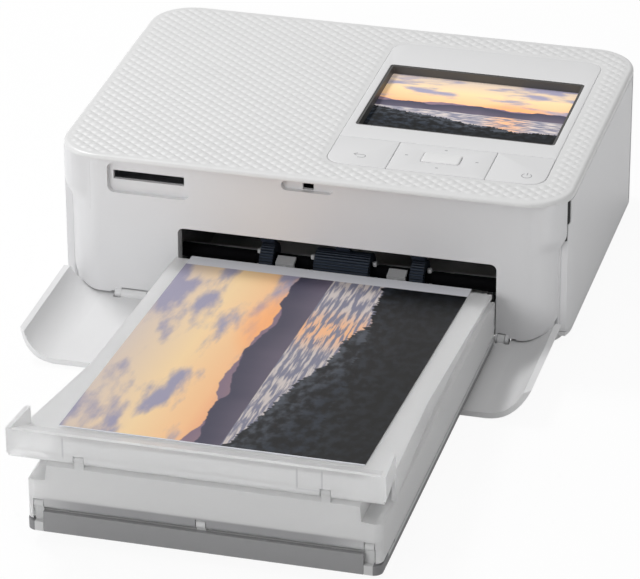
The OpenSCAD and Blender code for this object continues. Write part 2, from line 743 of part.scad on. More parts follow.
module exit_pinch_wheels() color("#d9d9d6") seated() {
    rod(frame_l - frame_t, frame_r + frame_t, wheel_c, thin_r);
    for (i = [0 : 2]) rod(path_x + tyre_x[i] - 2.4, path_x + tyre_x[i] + 2.4, wheel_c, wheel_r);
}

module exit_guides() color("#c9ccce") seated() {
    block([frame_l, 22, 13.5], [frame_r, 23.6, 16]);
    for (s = [-20, 20]) {
        side_cut(path_x + s - 3.3, path_x + s + 3.3) polygon([[23.6, 13.5], [23.6, 14.8], [9.6, 14.8],
            [9.6, 18.6], [12, 19.6], [12, 20.6], [8.2, 19.5], [8.2, 13.5]]);
        side_cut(path_x + s - 0.5, path_x + s + 0.5) polygon([[8.4, 14], [8.4, 19], [7.5, 18.4], [7.5, 14]]);
    }
}

module capstan() color("#b4b8bc") seated() {
    rod(gear_out, shaft_end, capstan_c, shaft_r);
    rod(frame_l + 1, frame_r - 1, capstan_c, capstan_r);
}

module pinch_roller() color("#3a3d42") seated() {
    rod(frame_out, frame_r + frame_t, pinch_c, thin_r);
    rod(frame_l + 2, frame_r - 2, pinch_c, pinch_r);
}

module platen_roller() color("#2b2d31") seated() {
    rod(frame_out, frame_r + frame_t, platen_c, shaft_r);
    rod(frame_l + 2, frame_r - 2, platen_c, platen_r);
}

module capstan_gear() color("#e8e4d8") seated()
    gear(capstan_n, gear_out, gear_in, capstan_c, 0, shaft_r + 0.02);

module exit_gear() color("#e8e4d8") seated()
    gear(exit_n, gear_out, gear_in, exit_c, exit_phase, shaft_r + 0.02);

module idler_gear() color("#e8e4d8") seated()
    gear(idler_n, gear_out, gear_in, idler_c, idler_phase, thin_r + run_gap);

module drive_gear() color("#e8e4d8") seated() {
    gear(drive_small_n, layer2_in - eps, gear_in, drive_c, drive_phase, thin_r + run_gap);
    gear(drive_large_n, layer2_out, layer2_in, drive_c, drive_phase, thin_r + run_gap);
}

module motor_pinion() color("#c8b070") seated() {
    gear(pinion_n, layer2_out, layer2_in, pinion_c, pinion_phase, 1);
    rod(bracket_x - bracket_t - 3, layer2_in, pinion_c, 1);
}

standoffs = [[14, -9], [14, 9], [1, 17]];

module motor_bracket() color("#a9adb1") seated() {
    difference() {
        side_cut(bracket_x - bracket_t, bracket_x)
            translate([pinion_c[0] + 4, floor_z + seam + bracket_h / 2]) round_rect(26, bracket_h, 3);
        rod(bracket_x - 5, bracket_x + 5, pinion_c, 4.4);
    }
    for (s = standoffs) rod(bracket_x - eps, frame_out, pinion_c + s, 2.2);
}

module feed_motor() color("#8d9196") seated() difference() {
    union() {
        rod(bracket_x - bracket_t - motor_l, bracket_x - bracket_t, pinion_c, motor_r);
        rod(bracket_x - bracket_t - eps, bracket_x - 0.3, pinion_c, 4.2);
    }
    rod(bracket_x - bracket_t - 4, bracket_x + 1, pinion_c, 1 + run_gap);
}

// ---------------------------------------------------------------- print head and ribbon

arm_z = path_z + 23;                     // underside of the head's arm
head_x = paper_w / 2 + 4;

module head_shaft() color("#c4c7ca") seated()
    rod(frame_out - 0.6, frame_r + frame_t + 0.6, head_c, head_shaft_r);

module head_arm() color("#b0b4b8") seated() difference() {
    union() {
        side_cut(path_x - head_x, path_x + head_x) polygon([[head_c[0] + 2.4, head_c[1]],
            [head_c[0] + 2.4, arm_z + 1.4], [head_c[0] - 43, arm_z + 1.4], [head_c[0] - 43, arm_z],
            [head_c[0] + 1, arm_z], [head_c[0] + 1, head_c[1]]]);
        for (s = [-1, 1]) rod(path_x + s * (head_x - 5) - 5, path_x + s * (head_x - 5) + 5, head_c, 4);
    }
    rod(-body_w, body_w, head_c, head_shaft_r + run_gap);
}

module thermal_head() color("#9aa0a6") seated() {
    block([path_x - head_x, platen_c[0] - 6, film_z + 0.55], [path_x + head_x, platen_c[0] + 6, film_z + 2]);
    side_cut(path_x - head_x + 1, path_x + head_x - 1) polygon([
        [platen_c[0] - 5, film_z + 2 - eps], [platen_c[0] + 5, film_z + 2 - eps],
        [platen_c[0] + 5, film_z + 6], [platen_c[0] + 1.5, film_z + 8], [platen_c[0] + 1.5, arm_z],
        [platen_c[0] - 1.5, arm_z], [platen_c[0] - 1.5, film_z + 8], [platen_c[0] - 5, film_z + 6]]);
    for (z = [10, 13, 16, 19]) block([path_x - head_x + 1, platen_c[0] - 5, film_z + z],
        [path_x + head_x - 1, platen_c[0] + 5, film_z + z + 1]);
}

spring_turns = 5;
wire = 0.8;
module head_spring() color("#9a9ea2") seated() {
    // a closely wound torsion spring round the head's shaft
    translate([frame_l + 0.2, head_c[0], head_c[1]]) rotate([0, 90, 0]) rotate_extrude()
        polygon(concat([[head_shaft_r + 0.3, 0], [head_shaft_r + 0.9, 0]],
            [for (i = [0 : spring_turns - 1], k = [[0.4, 0.25], [0.4, 0.75], [0, 1]])
                [head_shaft_r + 0.9 + k[0], (i + k[1]) * wire]],
            [[head_shaft_r + 0.3, spring_turns * wire]]));
    translate([frame_l + 0.2 + wire / 2, head_c[0] - head_shaft_r - 0.8, head_c[1] - 9])
        cylinder(r = wire / 2, h = 9);
}

ribbon_l = frame_l + 0.6;
ribbon_r = frame_r - 0.6;
plate_t = 1.6;
grip_end = body_w / 2 - wall - 6.3;

module spool_tube(c, r, y0, y1) {
    difference() {
        rod(ribbon_l, ribbon_r, c, r + tube_t);
        rod(ribbon_l - 1, ribbon_r + 1, c, r);
        block([ribbon_l - 1, y0, c[1] - r - 3], [ribbon_r + 1, y1, c[1] - 4]);
    }
}

module ribbon_plan(grow) {
    translate([(supply_c[0] + takeup_c[0]) / 2, supply_c[1]])
        round_rect(takeup_c[0] - supply_c[0] + 2 * (7.8 + grow), 2 * (8.4 + grow), 7.6 + grow);
}

module ribbon_cassette() color("#33363c") seated() difference() {
    union() {
        spool_tube(supply_c, supply_r + 0.6, supply_c[0] - 2, supply_c[0] + 20);
        spool_tube(takeup_c, takeup_r + 2.6, takeup_c[0] - 20, takeup_c[0] + 2);
        side_cut(ribbon_l, ribbon_l + plate_t) ribbon_plan(0);
        side_cut(ribbon_r - plate_t, ribbon_r) ribbon_plan(0);
        // the hollow grip that faces the door
        side_cut(ribbon_r, grip_end) difference() {
            ribbon_plan(0);
            ribbon_plan(-1.6);
        }
        block([ribbon_r, supply_c[0] + 12, supply_c[1] - 0.8], [grip_end, takeup_c[0] - 12, supply_c[1] + 0.8]);
    }
    for (c = [supply_c, takeup_c]) rod(ribbon_l - 1, ribbon_r + 1, c, thin_r + run_gap);
}

module supply_spool() color("#5b5148") seated() {
    rod(ribbon_l, ribbon_r, supply_c, thin_r);
    rod(ribbon_l + plate_t + 0.4, ribbon_r - plate_t - 0.4, supply_c, 3);
    rod(path_x - paper_w / 2, path_x + paper_w / 2, supply_c, supply_r);
}

module takeup_spool() color("#5b5148") seated() {
    rod(ribbon_l, ribbon_r, takeup_c, thin_r);
    rod(ribbon_l + plate_t + 0.4, ribbon_r - plate_t - 0.4, takeup_c, 3);
    rod(path_x - paper_w / 2, path_x + paper_w / 2, takeup_c, takeup_r);
}

module ribbon_film() color("#3b2f52") seated()
    side_cut(path_x - paper_w / 2, path_x + paper_w / 2) polygon([
        [supply_c[0] + 1, supply_c[1] - supply_r - 0.35], [platen_c[0] - 7.5, film_z + 0.2],
        [platen_c[0] + 7.5, film_z + 0.2], [takeup_c[0] - 0.5, takeup_c[1] - takeup_r - 0.35],
        [takeup_c[0] - 0.5, takeup_c[1] - takeup_r - 0.6], [platen_c[0] + 7.6, film_z],
        [platen_c[0] - 7.6, film_z], [supply_c[0] + 1, supply_c[1] - supply_r - 0.6]]);

// ---------------------------------------------------------------- paper cassette

tray_floor = 1.5;
bar_w = 52.2;                            // half the front bar's width
bar_t = 1.7;
hinge_end = bar_w + 4.4;                 // the cover's pin reaches this far to each side
ears = [-bar_w - 1.7, -0.6, bar_w + 1.7];
wall_back = 0.9;                         // how far the tray's upper walls stand back

// The tray's outline seen from above, moved in by an inset, and further at its sides.
module tray_plan(inset, sides = 0) {
    translate([path_x, (cassette_in - cassette_out) / 2])
        round_rect(cassette_w - 2 * (inset + sides), cassette_in + cassette_out - 2 * inset, 4 - inset);
}

// The outline of the wider part in front of the body, from a depth y1 forward.
module shoulder_plan(inset, y0, y1) {
    translate([path_x, (y0 + y1) / 2])
        round_rect(2 * (cover_w - inset), y1 - y0 - 2 * inset, 3 - inset);
}

module cassette_tray() color("#b9bbbd") seated() difference() {
    union() {
        difference() {
            union() {
                translate([0, 0, tray_z]) linear_extrude(side_h) {
                    tray_plan(0);
                    shoulder_plan(0, -cassette_out, -2);
                }
                // the upper walls stand back, inside the cover's side walls
                translate([0, 0, tray_z]) linear_extrude(tray_h) difference() {
                    tray_plan(0, wall_back);
                    for (s = [-1, 1]) translate([path_x + s * (bar_w + 0.1 + 5), -cassette_out])
                        square([10, 6.4], center = true);
                }
            }
            difference() {
                translate([0, 0, tray_z + tray_floor]) linear_extrude(tray_h) tray_plan(tray_wall, wall_back);
                // the front wall steps back behind the bar
                block([path_x - half_w, -cassette_out, 0],
                    [path_x + half_w, -cassette_out + bar_t + 1.9, tray_top + 1]);
            }
            // low rear wall, which the paper passes over
            block([path_x - half_w + tray_wall, cassette_in - 6, tray_z + 2.6],
                [path_x + half_w - tray_wall, cassette_in + 1, tray_top + 1]);
        }
        // ribs that hold the paper sideways
        for (s = [-1, 1]) let(x = path_x + s * (paper_w / 2 + 1.1))
            block([x - 0.6, -cassette_out + 12, tray_z], [x + 0.6, cassette_in - 7, tray_top - 0.6]);
        for (e = ears) {
            block([path_x + e - 1.5, cover_pin_y - 0.5, tray_z + side_h - 1],
                [path_x + e + 1.5, cover_pin_y + 1.2, cover_pin_z]);
            rod(path_x + e - 1.5, path_x + e + 1.5, [cover_pin_y, cover_pin_z], 1.5);
        }
    }
    block([path_x - bar_w - 0.1, -cassette_out - 1, 0], [path_x + bar_w + 0.1, -cassette_out + bar_t, tray_top + 0.2]);
    rod(path_x - hinge_end, path_x + hinge_end, [cover_pin_y, cover_pin_z], cover_pin_r);
    rod(path_x - paper_w, path_x + paper_w, [lift_y, lift_pin_z], lift_pin_r + run_gap);
}

lift_y = -cassette_out + 17;
lift_pin_r = 1.2;
lift_pin_z = lift_z + lift_t - lift_pin_r;

module cassette_bar() color("#7d7f82") seated()
    block([path_x - bar_w, -cassette_out, tray_z], [path_x + bar_w, -cassette_out + bar_t - 0.1, tray_top]);

// Side outline of the cover, with an inset for its inside.
module cover_side(i, low) {
    top = cover_z + cover_rise - i;
    polygon([[cover_back - i, low], [cover_back - i, top - slope * (cover_back - i)],
        [ridge_y + i * 0.7, top - slope * ridge_y], [cover_front + i, cover_top - i * 0.3],
        [cover_front + i, low]]);
}

// End outline of the cover, with a ledge along each side.
module cover_end(i, low) {
    w = cover_w - i;
    z = ledge_z - i;
    translate([path_x, 0]) polygon([[-w, low], [-w, z - 0.8], [-w + 0.8, z], [-w + 6.5, z + 0.6],
        [-w + 9, 50], [w - 9, 50], [w - 6.5, z + 0.6], [w - 0.8, z], [w, z - 0.8], [w, low]]);
}

module cover_form(i, low) {
    intersection() {
        side_cut(path_x - cover_w, path_x + cover_w) cover_side(i, low);
        front_cut(-cassette_out, 0) cover_end(i, low);
        linear_extrude(body_h) shoulder_plan(i, cover_front, 10);
    }
}

module cassette_cover() color("#dcdfe1", 0.8) seated() difference() {
    union() {
        difference() {
            cover_form(0, cover_low);
            cover_form(tray_wall, cover_low - 1);
            // the back wall stops above the tray
            block([path_x - half_w, cover_back - 3, 0], [path_x + half_w, cover_back + 3, cover_z]);
            // the front wall stops above the hinge, apart from a post at each corner
            block([path_x - bar_w - 3.7, -cassette_out - 1, 0],
                [path_x + bar_w + 3.7, cover_pin_y + 1.7, cover_pin_z - 0.3]);
        }
        rod(path_x - bar_w, path_x + bar_w, [cover_pin_y, cover_pin_z], 1.5);
        // ears for the output lid
        for (s = [-1, 1]) {
            block([path_x + s * ear_x - 1.5, stop_y - 0.8, cover_top - 2], [path_x + s * ear_x + 1.5, stop_y + 0.9, stop_z]);
            rod(path_x + s * ear_x - 1.5, path_x + s * ear_x + 1.5, [stop_y, stop_z], 1.3);
        }
    }
    for (e = ears) block([path_x + e - 1.8, cover_pin_y - 3, cover_z - 2], [path_x + e + 1.8, cover_pin_y + 2, cover_pin_z + 1.9]);
    rod(path_x - hinge_end - 0.2, path_x + hinge_end + 0.2, [cover_pin_y, cover_pin_z], cover_pin_r + run_gap);
    rod(path_x - half_w, path_x + half_w, [stop_y, stop_z], 0.6);
}

module cassette_pin() color("#b8b8b8") seated()
    rod(path_x - hinge_end, path_x + hinge_end, [cover_pin_y, cover_pin_z], cover_pin_r);

module lid_pin() color("#b8b8b8") seated()
    rod(path_x - 46, path_x + 46, [stop_y, stop_z], 0.6);

function floor_at(y) = lid_z - slope * y;
wing_y = -cassette_out + 15;
flare_y = -cassette_out + 67;

// The lid's outline seen from above; its front third flares out into the wings.
module lid_plan(i) {
    w = half_w - i;
    translate([path_x, 0]) polygon([[-w, lid_back], [w, lid_back], [w, flare_y],
        [w + wing_r, -cassette_out], [-w - wing_l, -cassette_out], [-w, flare_y]]);
}

// The side strips of that outline between two depths.
module lid_strip(y0, y1, t) {
    intersection() {
        difference() {
            lid_plan(0);
            lid_plan(t);
        }
        translate([-body_w, y0]) square([2 * body_w, y1 - y0]);
    }
}

module output_lid() color("#dfe3e5", 0.75) seated() difference() {
    union() {
        // floor, ramp and front wall in one bent sheet
        intersection() {
            side_cut(-body_w, body_w) polygon([[lid_back, floor_at(lid_back)],
                [ramp_y, floor_at(ramp_y)], [-cassette_out + 1.5, stop_top], [-cassette_out, stop_top],
                [-cassette_out, stop_z], [stop_y, stop_z], [stop_y, stop_top - 2.4],
                [ramp_y + 0.3, floor_at(ramp_y) - lid_t], [lid_back, floor_at(lid_back) - lid_t]]);
            linear_extrude(body_h) lid_plan(0);
        }
        rod(path_x - half_w - wing_l + 0.6, path_x + half_w + wing_r - 0.6, [stop_y, stop_z], 1.6);
        // skirts beside the cover
        intersection() {
            side_cut(-body_w, body_w) polygon([[(lid_z - 0.5 - skirt_z) / slope, skirt_z],
                [wing_y, floor_at(wing_y) - 0.5], [wing_y, skirt_z]]);
            linear_extrude(body_h) lid_strip(wing_y, -6, 1.3);
        }
        // wings either side of the front wall
        intersection() {
            side_cut(-body_w, body_w) polygon([[wing_y, stop_z + 1.6], [wing_y, stop_top + 0.4],
                [-cassette_out, stop_top + 0.4], [-cassette_out, stop_z], [stop_y + 1, stop_z]]);
            linear_extrude(body_h) lid_strip(-cassette_out, wing_y, 1.6);
        }
    }
    for (s = [-1, 1]) {
        block([path_x + s * ear_x - 1.8, stop_y - 2, stop_z - 2], [path_x + s * ear_x + 1.8, stop_y + 2, stop_z + 1.7]);
    }
    rod(path_x - 47, path_x + 47, [stop_y, stop_z], 0.6 + run_gap);
}

module lift_plate() color("#c9cbce") seated() {
    block([path_x - paper_w / 2 + 0.5, lift_y, lift_z], [path_x + paper_w / 2 - 0.5, stack_back, lift_z + lift_t]);
    rod(path_x - paper_w / 2 + 0.5, path_x + paper_w / 2 - 0.5, [lift_y, lift_pin_z], lift_pin_r);
    rod(path_x - paper_w / 2 - 1.5, path_x + paper_w / 2 + 1.5, [lift_y, lift_pin_z], lift_pin_r - 0.01);
}

module lift_spring() color("#9a9ea2") seated() for (s = [-25, 25])
    translate([0, lift_y, 0]) side_cut(path_x + s - 4, path_x + s + 4) polygon([
        [13, tray_z + tray_floor], [13, tray_z + tray_floor + 0.4], [21, tray_z + tray_floor + 0.4],
        [28, lift_z - 0.6], [30, lift_z - 0.6], [30, lift_z - 1], [28, lift_z - 1],
        [21, tray_z + tray_floor]]);

module paper_stack() color("#f7f7f4") seated()
    block([path_x - paper_w / 2, stack_back - stack_l, stack_z],
        [path_x + paper_w / 2, stack_back, stack_z + stack_h]);

print_back = 0.4;
print_x = path_x - 1.2;
module print_sheet() color("#c9b49a") seated()
    translate([print_x, 0, 0]) side_cut(-paper_w / 2, paper_w / 2) let(y1 = print_back - print_l * cos(lid_slope))
        polygon([[print_back, floor_at(print_back)], [y1, floor_at(y1)],
            [y1, floor_at(y1) + paper_t], [print_back, floor_at(print_back) + paper_t]]);

// ---------------------------------------------------------------- assembly

base_plate();
rubber_feet();
case_shell();
top_cover();
control_panel();
display_bezel();
display_module();
menu_key();
pad_key();
ok_key();
power_key();
front_panel();
front_cover();
cover_hinge_pins();
ribbon_door();
door_hinge_pin();
left_frame();
right_frame();
cross_tie();
exit_guides();
exit_shaft();
exit_tyres();
exit_gear();
exit_pinch_wheels();
capstan();
capstan_gear();
pinch_roller();
platen_roller();
idler_gear();
drive_gear();
motor_pinion();
feed_motor();
motor_bracket();
head_shaft();
head_arm();
thermal_head();
head_spring();
ribbon_cassette();
supply_spool();
takeup_spool();
ribbon_film();
main_board();
card_reader();
key_board();
power_inlet();
case_screws();
cassette_tray();
cassette_bar();
cassette_cover();
cassette_pin();
output_lid();
lid_pin();
lift_plate();
lift_spring();
paper_stack();
print_sheet();
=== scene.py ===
import bpy
import bmesh
import math
from mathutils import Matrix, Vector


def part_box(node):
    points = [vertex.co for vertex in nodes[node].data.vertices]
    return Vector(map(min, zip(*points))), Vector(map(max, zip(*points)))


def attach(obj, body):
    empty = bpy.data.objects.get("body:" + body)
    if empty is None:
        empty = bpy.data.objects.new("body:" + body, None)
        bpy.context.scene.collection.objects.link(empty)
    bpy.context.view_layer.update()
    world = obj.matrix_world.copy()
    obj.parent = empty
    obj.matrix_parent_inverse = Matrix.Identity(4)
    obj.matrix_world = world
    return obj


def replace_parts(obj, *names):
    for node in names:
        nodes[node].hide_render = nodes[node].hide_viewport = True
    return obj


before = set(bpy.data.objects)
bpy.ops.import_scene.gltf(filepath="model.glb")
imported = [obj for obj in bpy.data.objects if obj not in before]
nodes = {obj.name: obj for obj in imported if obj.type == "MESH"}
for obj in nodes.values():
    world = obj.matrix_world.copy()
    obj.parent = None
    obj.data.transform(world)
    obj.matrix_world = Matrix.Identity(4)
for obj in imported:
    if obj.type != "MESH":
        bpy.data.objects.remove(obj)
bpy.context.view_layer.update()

# ---------------------------------------------------------------- studio
# The printer stands on a white table and a long-lens camera looks at it from a little to the right
# of its front. Four soft lamps light it: the strongest is high at the rear left, weaker ones are
# low at the left, in front and high at the right.

scene = bpy.context.scene
scene.view_settings.view_transform = "Standard"

aim, distance = Vector((0.010603, -0.0055, 0.026188)), 1.405824
turn, lift, lean = math.radians(15.076), math.radians(27.412), math.radians(-0.236)
sensor_width, picture_width, focal_length = 36, 640, 4125.415    # mm, pixels and pixels
back = Vector((math.sin(turn) * math.cos(lift), -math.cos(turn) * math.cos(lift), math.sin(lift)))
side = Vector((0, 0, 1)).cross(back).normalized()
upright = back.cross(side)
side_leant = side * math.cos(lean) + upright * math.sin(lean)
upright_leant = upright * math.cos(lean) - side * math.sin(lean)
camera_data = bpy.data.cameras.new("camera")
camera_data.sensor_fit = "HORIZONTAL"
camera_data.sensor_width = sensor_width
camera_data.lens = sensor_width * focal_length / picture_width
camera_data.clip_start = 0.05
camera = bpy.data.objects.new("camera", camera_data)
scene.collection.objects.link(camera)
camera.matrix_world = Matrix((
    (side_leant.x, upright_leant.x, back.x, aim.x + distance * back.x),
    (side_leant.y, upright_leant.y, back.y, aim.y + distance * back.y),
    (side_leant.z, upright_leant.z, back.z, aim.z + distance * back.z),
    (0, 0, 0, 1)))
scene.camera = camera


def soft_lamp(name, place, size, watts, towards=(0, -0.02, 0.03)):
    """A square lamp that looks at the printer."""
    data = bpy.data.lights.new(name, "AREA")
    data.shape = "SQUARE"
    data.size = size
    data.energy = watts
    lamp = bpy.data.objects.new(name, data)
    scene.collection.objects.link(lamp)
    lamp.location = place
    lamp.rotation_euler = (Vector(place) - Vector(towards)).to_track_quat("Z", "Y").to_euler()


soft_lamp("lamp_overhead", (-0.6, 0.38, 0.98), 0.28, 6.7)
soft_lamp("lamp_left", (-1.4, -0.3, 0.3), 0.4, 2.0)
soft_lamp("lamp_front", (-0.4, -0.85, 0.42), 0.4, 2.5)
soft_lamp("lamp_right", (0.55, -0.4, 1.2), 0.5, 1.4)


def calc(tree, kind, *values, clamp=False):
    """A Math node fed with numbers or sockets; gives the socket of its result."""
    m = tree.nodes.new("ShaderNodeMath")
    m.operation = kind
    m.use_clamp = clamp
    for slot, value in zip(m.inputs, values):
        if isinstance(value, (int, float)):
            slot.default_value = value
        else:
            tree.links.new(value, slot)
    return m.outputs[0]


def coloured(tree, kind, level, strength=None):
    """A plain grey shader; gives its socket."""
    n = tree.nodes.new("ShaderNode" + kind)
    n.inputs["Color"].default_value = (level, level, level, 1)
    if strength is not None:
        n.inputs["Strength"].default_value = strength
    return n.outputs[0]


def show_mixed(tree, mask, first, second, output):
    """Shows the first shader where the mask is 0 and the second where it is 1."""
    choose = tree.nodes.new("ShaderNodeMixShader")
    for slot, socket in zip(choose.inputs, (mask, first, second)):
        tree.links.new(socket, slot)
    tree.links.new(choose.outputs[0], tree.nodes.new(output).inputs["Surface"])


# the room lights the printer evenly; seen directly or through a clear piece it is plain white
room_light = 0.42
world = bpy.data.worlds.new("studio")
world.use_nodes = True
scene.world = world
w = world.node_tree
w.nodes.clear()
seen = w.nodes.new("ShaderNodeLightPath").outputs
show_mixed(w, calc(w, "MAXIMUM", seen["Is Camera Ray"], seen["Is Transmission Ray"]),
    coloured(w, "Background", 1, room_light), coloured(w, "Background", 1, 1.0), "ShaderNodeOutputWorld")

# seen directly the table is nearly that same white; the rest is its own colour, which keeps the shadow
table_reach, table_white = 6, 0.93
table_mesh = bpy.data.meshes.new("table")
table_corners = [(x * table_reach, y * table_reach, 0) for x, y in ((-1, -1), (1, -1), (1, 1), (-1, 1))]
table_mesh.from_pydata(table_corners, [], [(0, 1, 2, 3)])
table = bpy.data.objects.new("table", table_mesh)
scene.collection.objects.link(table)
table_top = bpy.data.materials.new("table_top")
table_top.use_nodes = True
t = table_top.node_tree
t.nodes.clear()
show_mixed(t, calc(t, "MULTIPLY", t.nodes.new("ShaderNodeLightPath").outputs["Is Camera Ray"], table_white),
    coloured(t, "BsdfDiffuse", 0.9), coloured(t, "Emission", 1, 1.0), "ShaderNodeOutputMaterial")
table_mesh.materials.append(table_top)

# ---------------------------------------------------------------- casing
# The side and rear walls are one white injection moulding with a very fine spark-eroded grain.
# It stands on a grey base plate with four rubber feet and is screwed to it from below.


def new_group(name, inputs, outputs):
    """A node group with named sockets: a number makes a float, three a vector and four a colour."""
    g = bpy.data.node_groups.new(name, "ShaderNodeTree")
    for way, sockets in (("INPUT", inputs), ("OUTPUT", outputs)):
        for label, value in sockets.items():
            kind = "Float" if isinstance(value, (int, float)) else "Vector" if len(value) == 3 else "Color"
            made = g.interface.new_socket(name=label, in_out=way, socket_type="NodeSocket" + kind)
            made.default_value = value
    return g, g.nodes.new("NodeGroupInput").outputs, g.nodes.new("NodeGroupOutput").inputs


def spot_of(tree):
    """Where on the piece a point lies, in metres."""
    return tree.nodes.new("ShaderNodeTexCoord").outputs["Object"]


def split(tree, vector):
    """The X, Y and Z sockets of a vector."""
    n = tree.nodes.new("ShaderNodeSeparateXYZ")
    tree.links.new(vector, n.inputs[0])
    return n.outputs


def noise(tree, vector, scale, detail=2.0, stretch=None):
    """A Noise texture over a vector, which may be stretched first; gives its value's socket."""
    n = tree.nodes.new("ShaderNodeTexNoise")
    n.inputs["Detail"].default_value = detail
    if isinstance(scale, (int, float)):
        n.inputs["Scale"].default_value = scale
    else:
        tree.links.new(scale, n.inputs["Scale"])
    if stretch is not None:
        pull = tree.nodes.new("ShaderNodeVectorMath")
        pull.operation = "MULTIPLY"
        tree.links.new(vector, pull.inputs[0])
        if isinstance(stretch, tuple):
            pull.inputs[1].default_value = stretch
        else:
            tree.links.new(stretch, pull.inputs[1])
        vector = pull.outputs[0]
    tree.links.new(vector, n.inputs["Vector"])
    return n.outputs["Fac"]


def scaled(tree, colour, level):
    """A colour times a level."""
    t = tree.nodes.new("ShaderNodeVectorMath")
    t.operation = "SCALE"
    tree.links.new(colour, t.inputs[0])
    tree.links.new(level, t.inputs["Scale"])
    return t.outputs[0]


# mottled colour, gloss and fine surface relief of moulded plastic; dust gathers on what looks up
grain_group, into, out = new_group("moulded_grain",
    {"Colour": (0.8, 0.8, 0.8, 1), "Mottle": 0.02, "Roughness": 0.4, "Grain scale": 1800.0, "Dust": 0.02},
    {"Colour": (0.8, 0.8, 0.8, 1), "Roughness": 0.4, "Height": 0.0})
g = grain_group
mottle_scale, gloss_spread = 38, 0.08
place = spot_of(g)
broad = noise(g, place, mottle_scale, 4)
fine = noise(g, place, into["Grain scale"])
facing = split(g, g.nodes.new("ShaderNodeNewGeometry").outputs["Normal"])
dusty = calc(g, "MULTIPLY", calc(g, "MULTIPLY", facing["Z"], broad, clamp=True), into["Dust"])
level = calc(g, "ADD", calc(g, "MULTIPLY", calc(g, "SUBTRACT", broad, 0.5), into["Mottle"]), 1.0)
g.links.new(scaled(g, into["Colour"], level), out["Colour"])
uneven = calc(g, "MULTIPLY_ADD", broad, gloss_spread, into["Roughness"])
g.links.new(calc(g, "ADD", uneven, dusty), out["Roughness"])
g.links.new(fine, out["Height"])


def material_from(name, group, inputs, depth, **constants):
    """A material whose colour, gloss and relief come from a group; depth is the relief's, in metres."""
    m = bpy.data.materials.new(name)
    m.use_nodes = True
    tree = m.node_tree
    shader = tree.nodes["Principled BSDF"]
    source = tree.nodes.new("ShaderNodeGroup")
    source.node_tree = group
    for label, value in inputs.items():
        source.inputs[label].default_value = value
    tree.links.new(source.outputs["Colour"], shader.inputs["Base Color"])
    tree.links.new(source.outputs["Roughness"], shader.inputs["Roughness"])
    bump = tree.nodes.new("ShaderNodeBump")
    bump.inputs["Distance"].default_value = depth
    tree.links.new(source.outputs["Height"], bump.inputs["Height"])
    tree.links.new(bump.outputs["Normal"], shader.inputs["Normal"])
    for label, value in constants.items():
        shader.inputs[label.replace("_", " ")].default_value = value
    return m


def plastic(name, colour, roughness=0.4, grain=1800, depth=0.00002, mottle=0.03, dust=0.02, **constants):
    """A moulded plastic with its grain's scale and depth."""
    return material_from(name, grain_group, {"Colour": (*colour, 1), "Mottle": mottle, "Roughness": roughness,
        "Grain scale": grain, "Dust": dust}, depth, **constants)


def finish_node(material, *names):
    """Gives CAD nodes their finish."""
    for name in names:
        o = nodes[name]
        if not o.material_slots:
            o.data.materials.append(material)
        for s in o.material_slots:
            s.link = "OBJECT"
            s.material = material


def ease_edges(width, *names):
    """Breaks the sharp edges of CAD nodes with a small round, as a mould leaves them."""
    flat_within, sharp_over = math.radians(0.6), math.radians(30)
    for name in names:
        o = nodes[name]
        flat = o.modifiers.new("flat_faces", "DECIMATE")
        flat.decimate_type = "DISSOLVE"
        flat.angle_limit = flat_within
        soft = o.modifiers.new("eased_edges", "BEVEL")
        soft.width = width
        soft.segments = 2
        soft.limit_method = "ANGLE"
        soft.angle_limit = sharp_over
        soft.harden_normals = True


case_white = plastic("case_white", (0.78, 0.78, 0.79), 0.38)
finish_node(case_white, "case_shell", "ribbon_door", "front_panel")
ease_edges(0.0004, "case_shell", "ribbon_door", "front_panel")
finish_node(plastic("base_grey", (0.66, 0.66, 0.66), 0.5), "base_plate")
ease_edges(0.0002, "base_plate")
finish_node(plastic("foot_rubber", (0.03, 0.03, 0.03), 0.75, grain=900, depth=0.00006, mottle=0.3),
    "rubber_feet")
finish_node(plastic("inlet_black", (0.018, 0.018, 0.02), 0.3, mottle=0.1), "power_inlet")


def made_piece(name, bm, material, body, smooth=30):
    """Turns a bmesh, in metres, into a piece that rides on a CAD body."""
    bmesh.ops.recalc_face_normals(bm, faces=bm.faces)
    mesh = bpy.data.meshes.new(name)
    bm.to_mesh(mesh)
    bm.free()
    mesh.shade_smooth()
    mesh.set_sharp_from_angle(angle=math.radians(smooth))
    o = bpy.data.objects.new(name, mesh)
    scene.collection.objects.link(o)
    mesh.materials.append(material)
    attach(o, body)
    return o


def smooth_step(value, low, high):
    """0 where a value is under low, 1 over high and smooth between."""
    t = min(max((value - low) / (high - low), 0), 1)
    return t * t * (3 - 2 * t)


# centre and radius of the body's upright corners, how far the front panel lies inside its outline,
# and the cut under the top cover's rim: its height and the depth that it reaches back to
corner_x, corner_y, corner_r, panel_recess = 0.0751, 0.0305, 0.016, 0.0024
rim_cut, rim_cut_rear = 0.00098, 0.0212


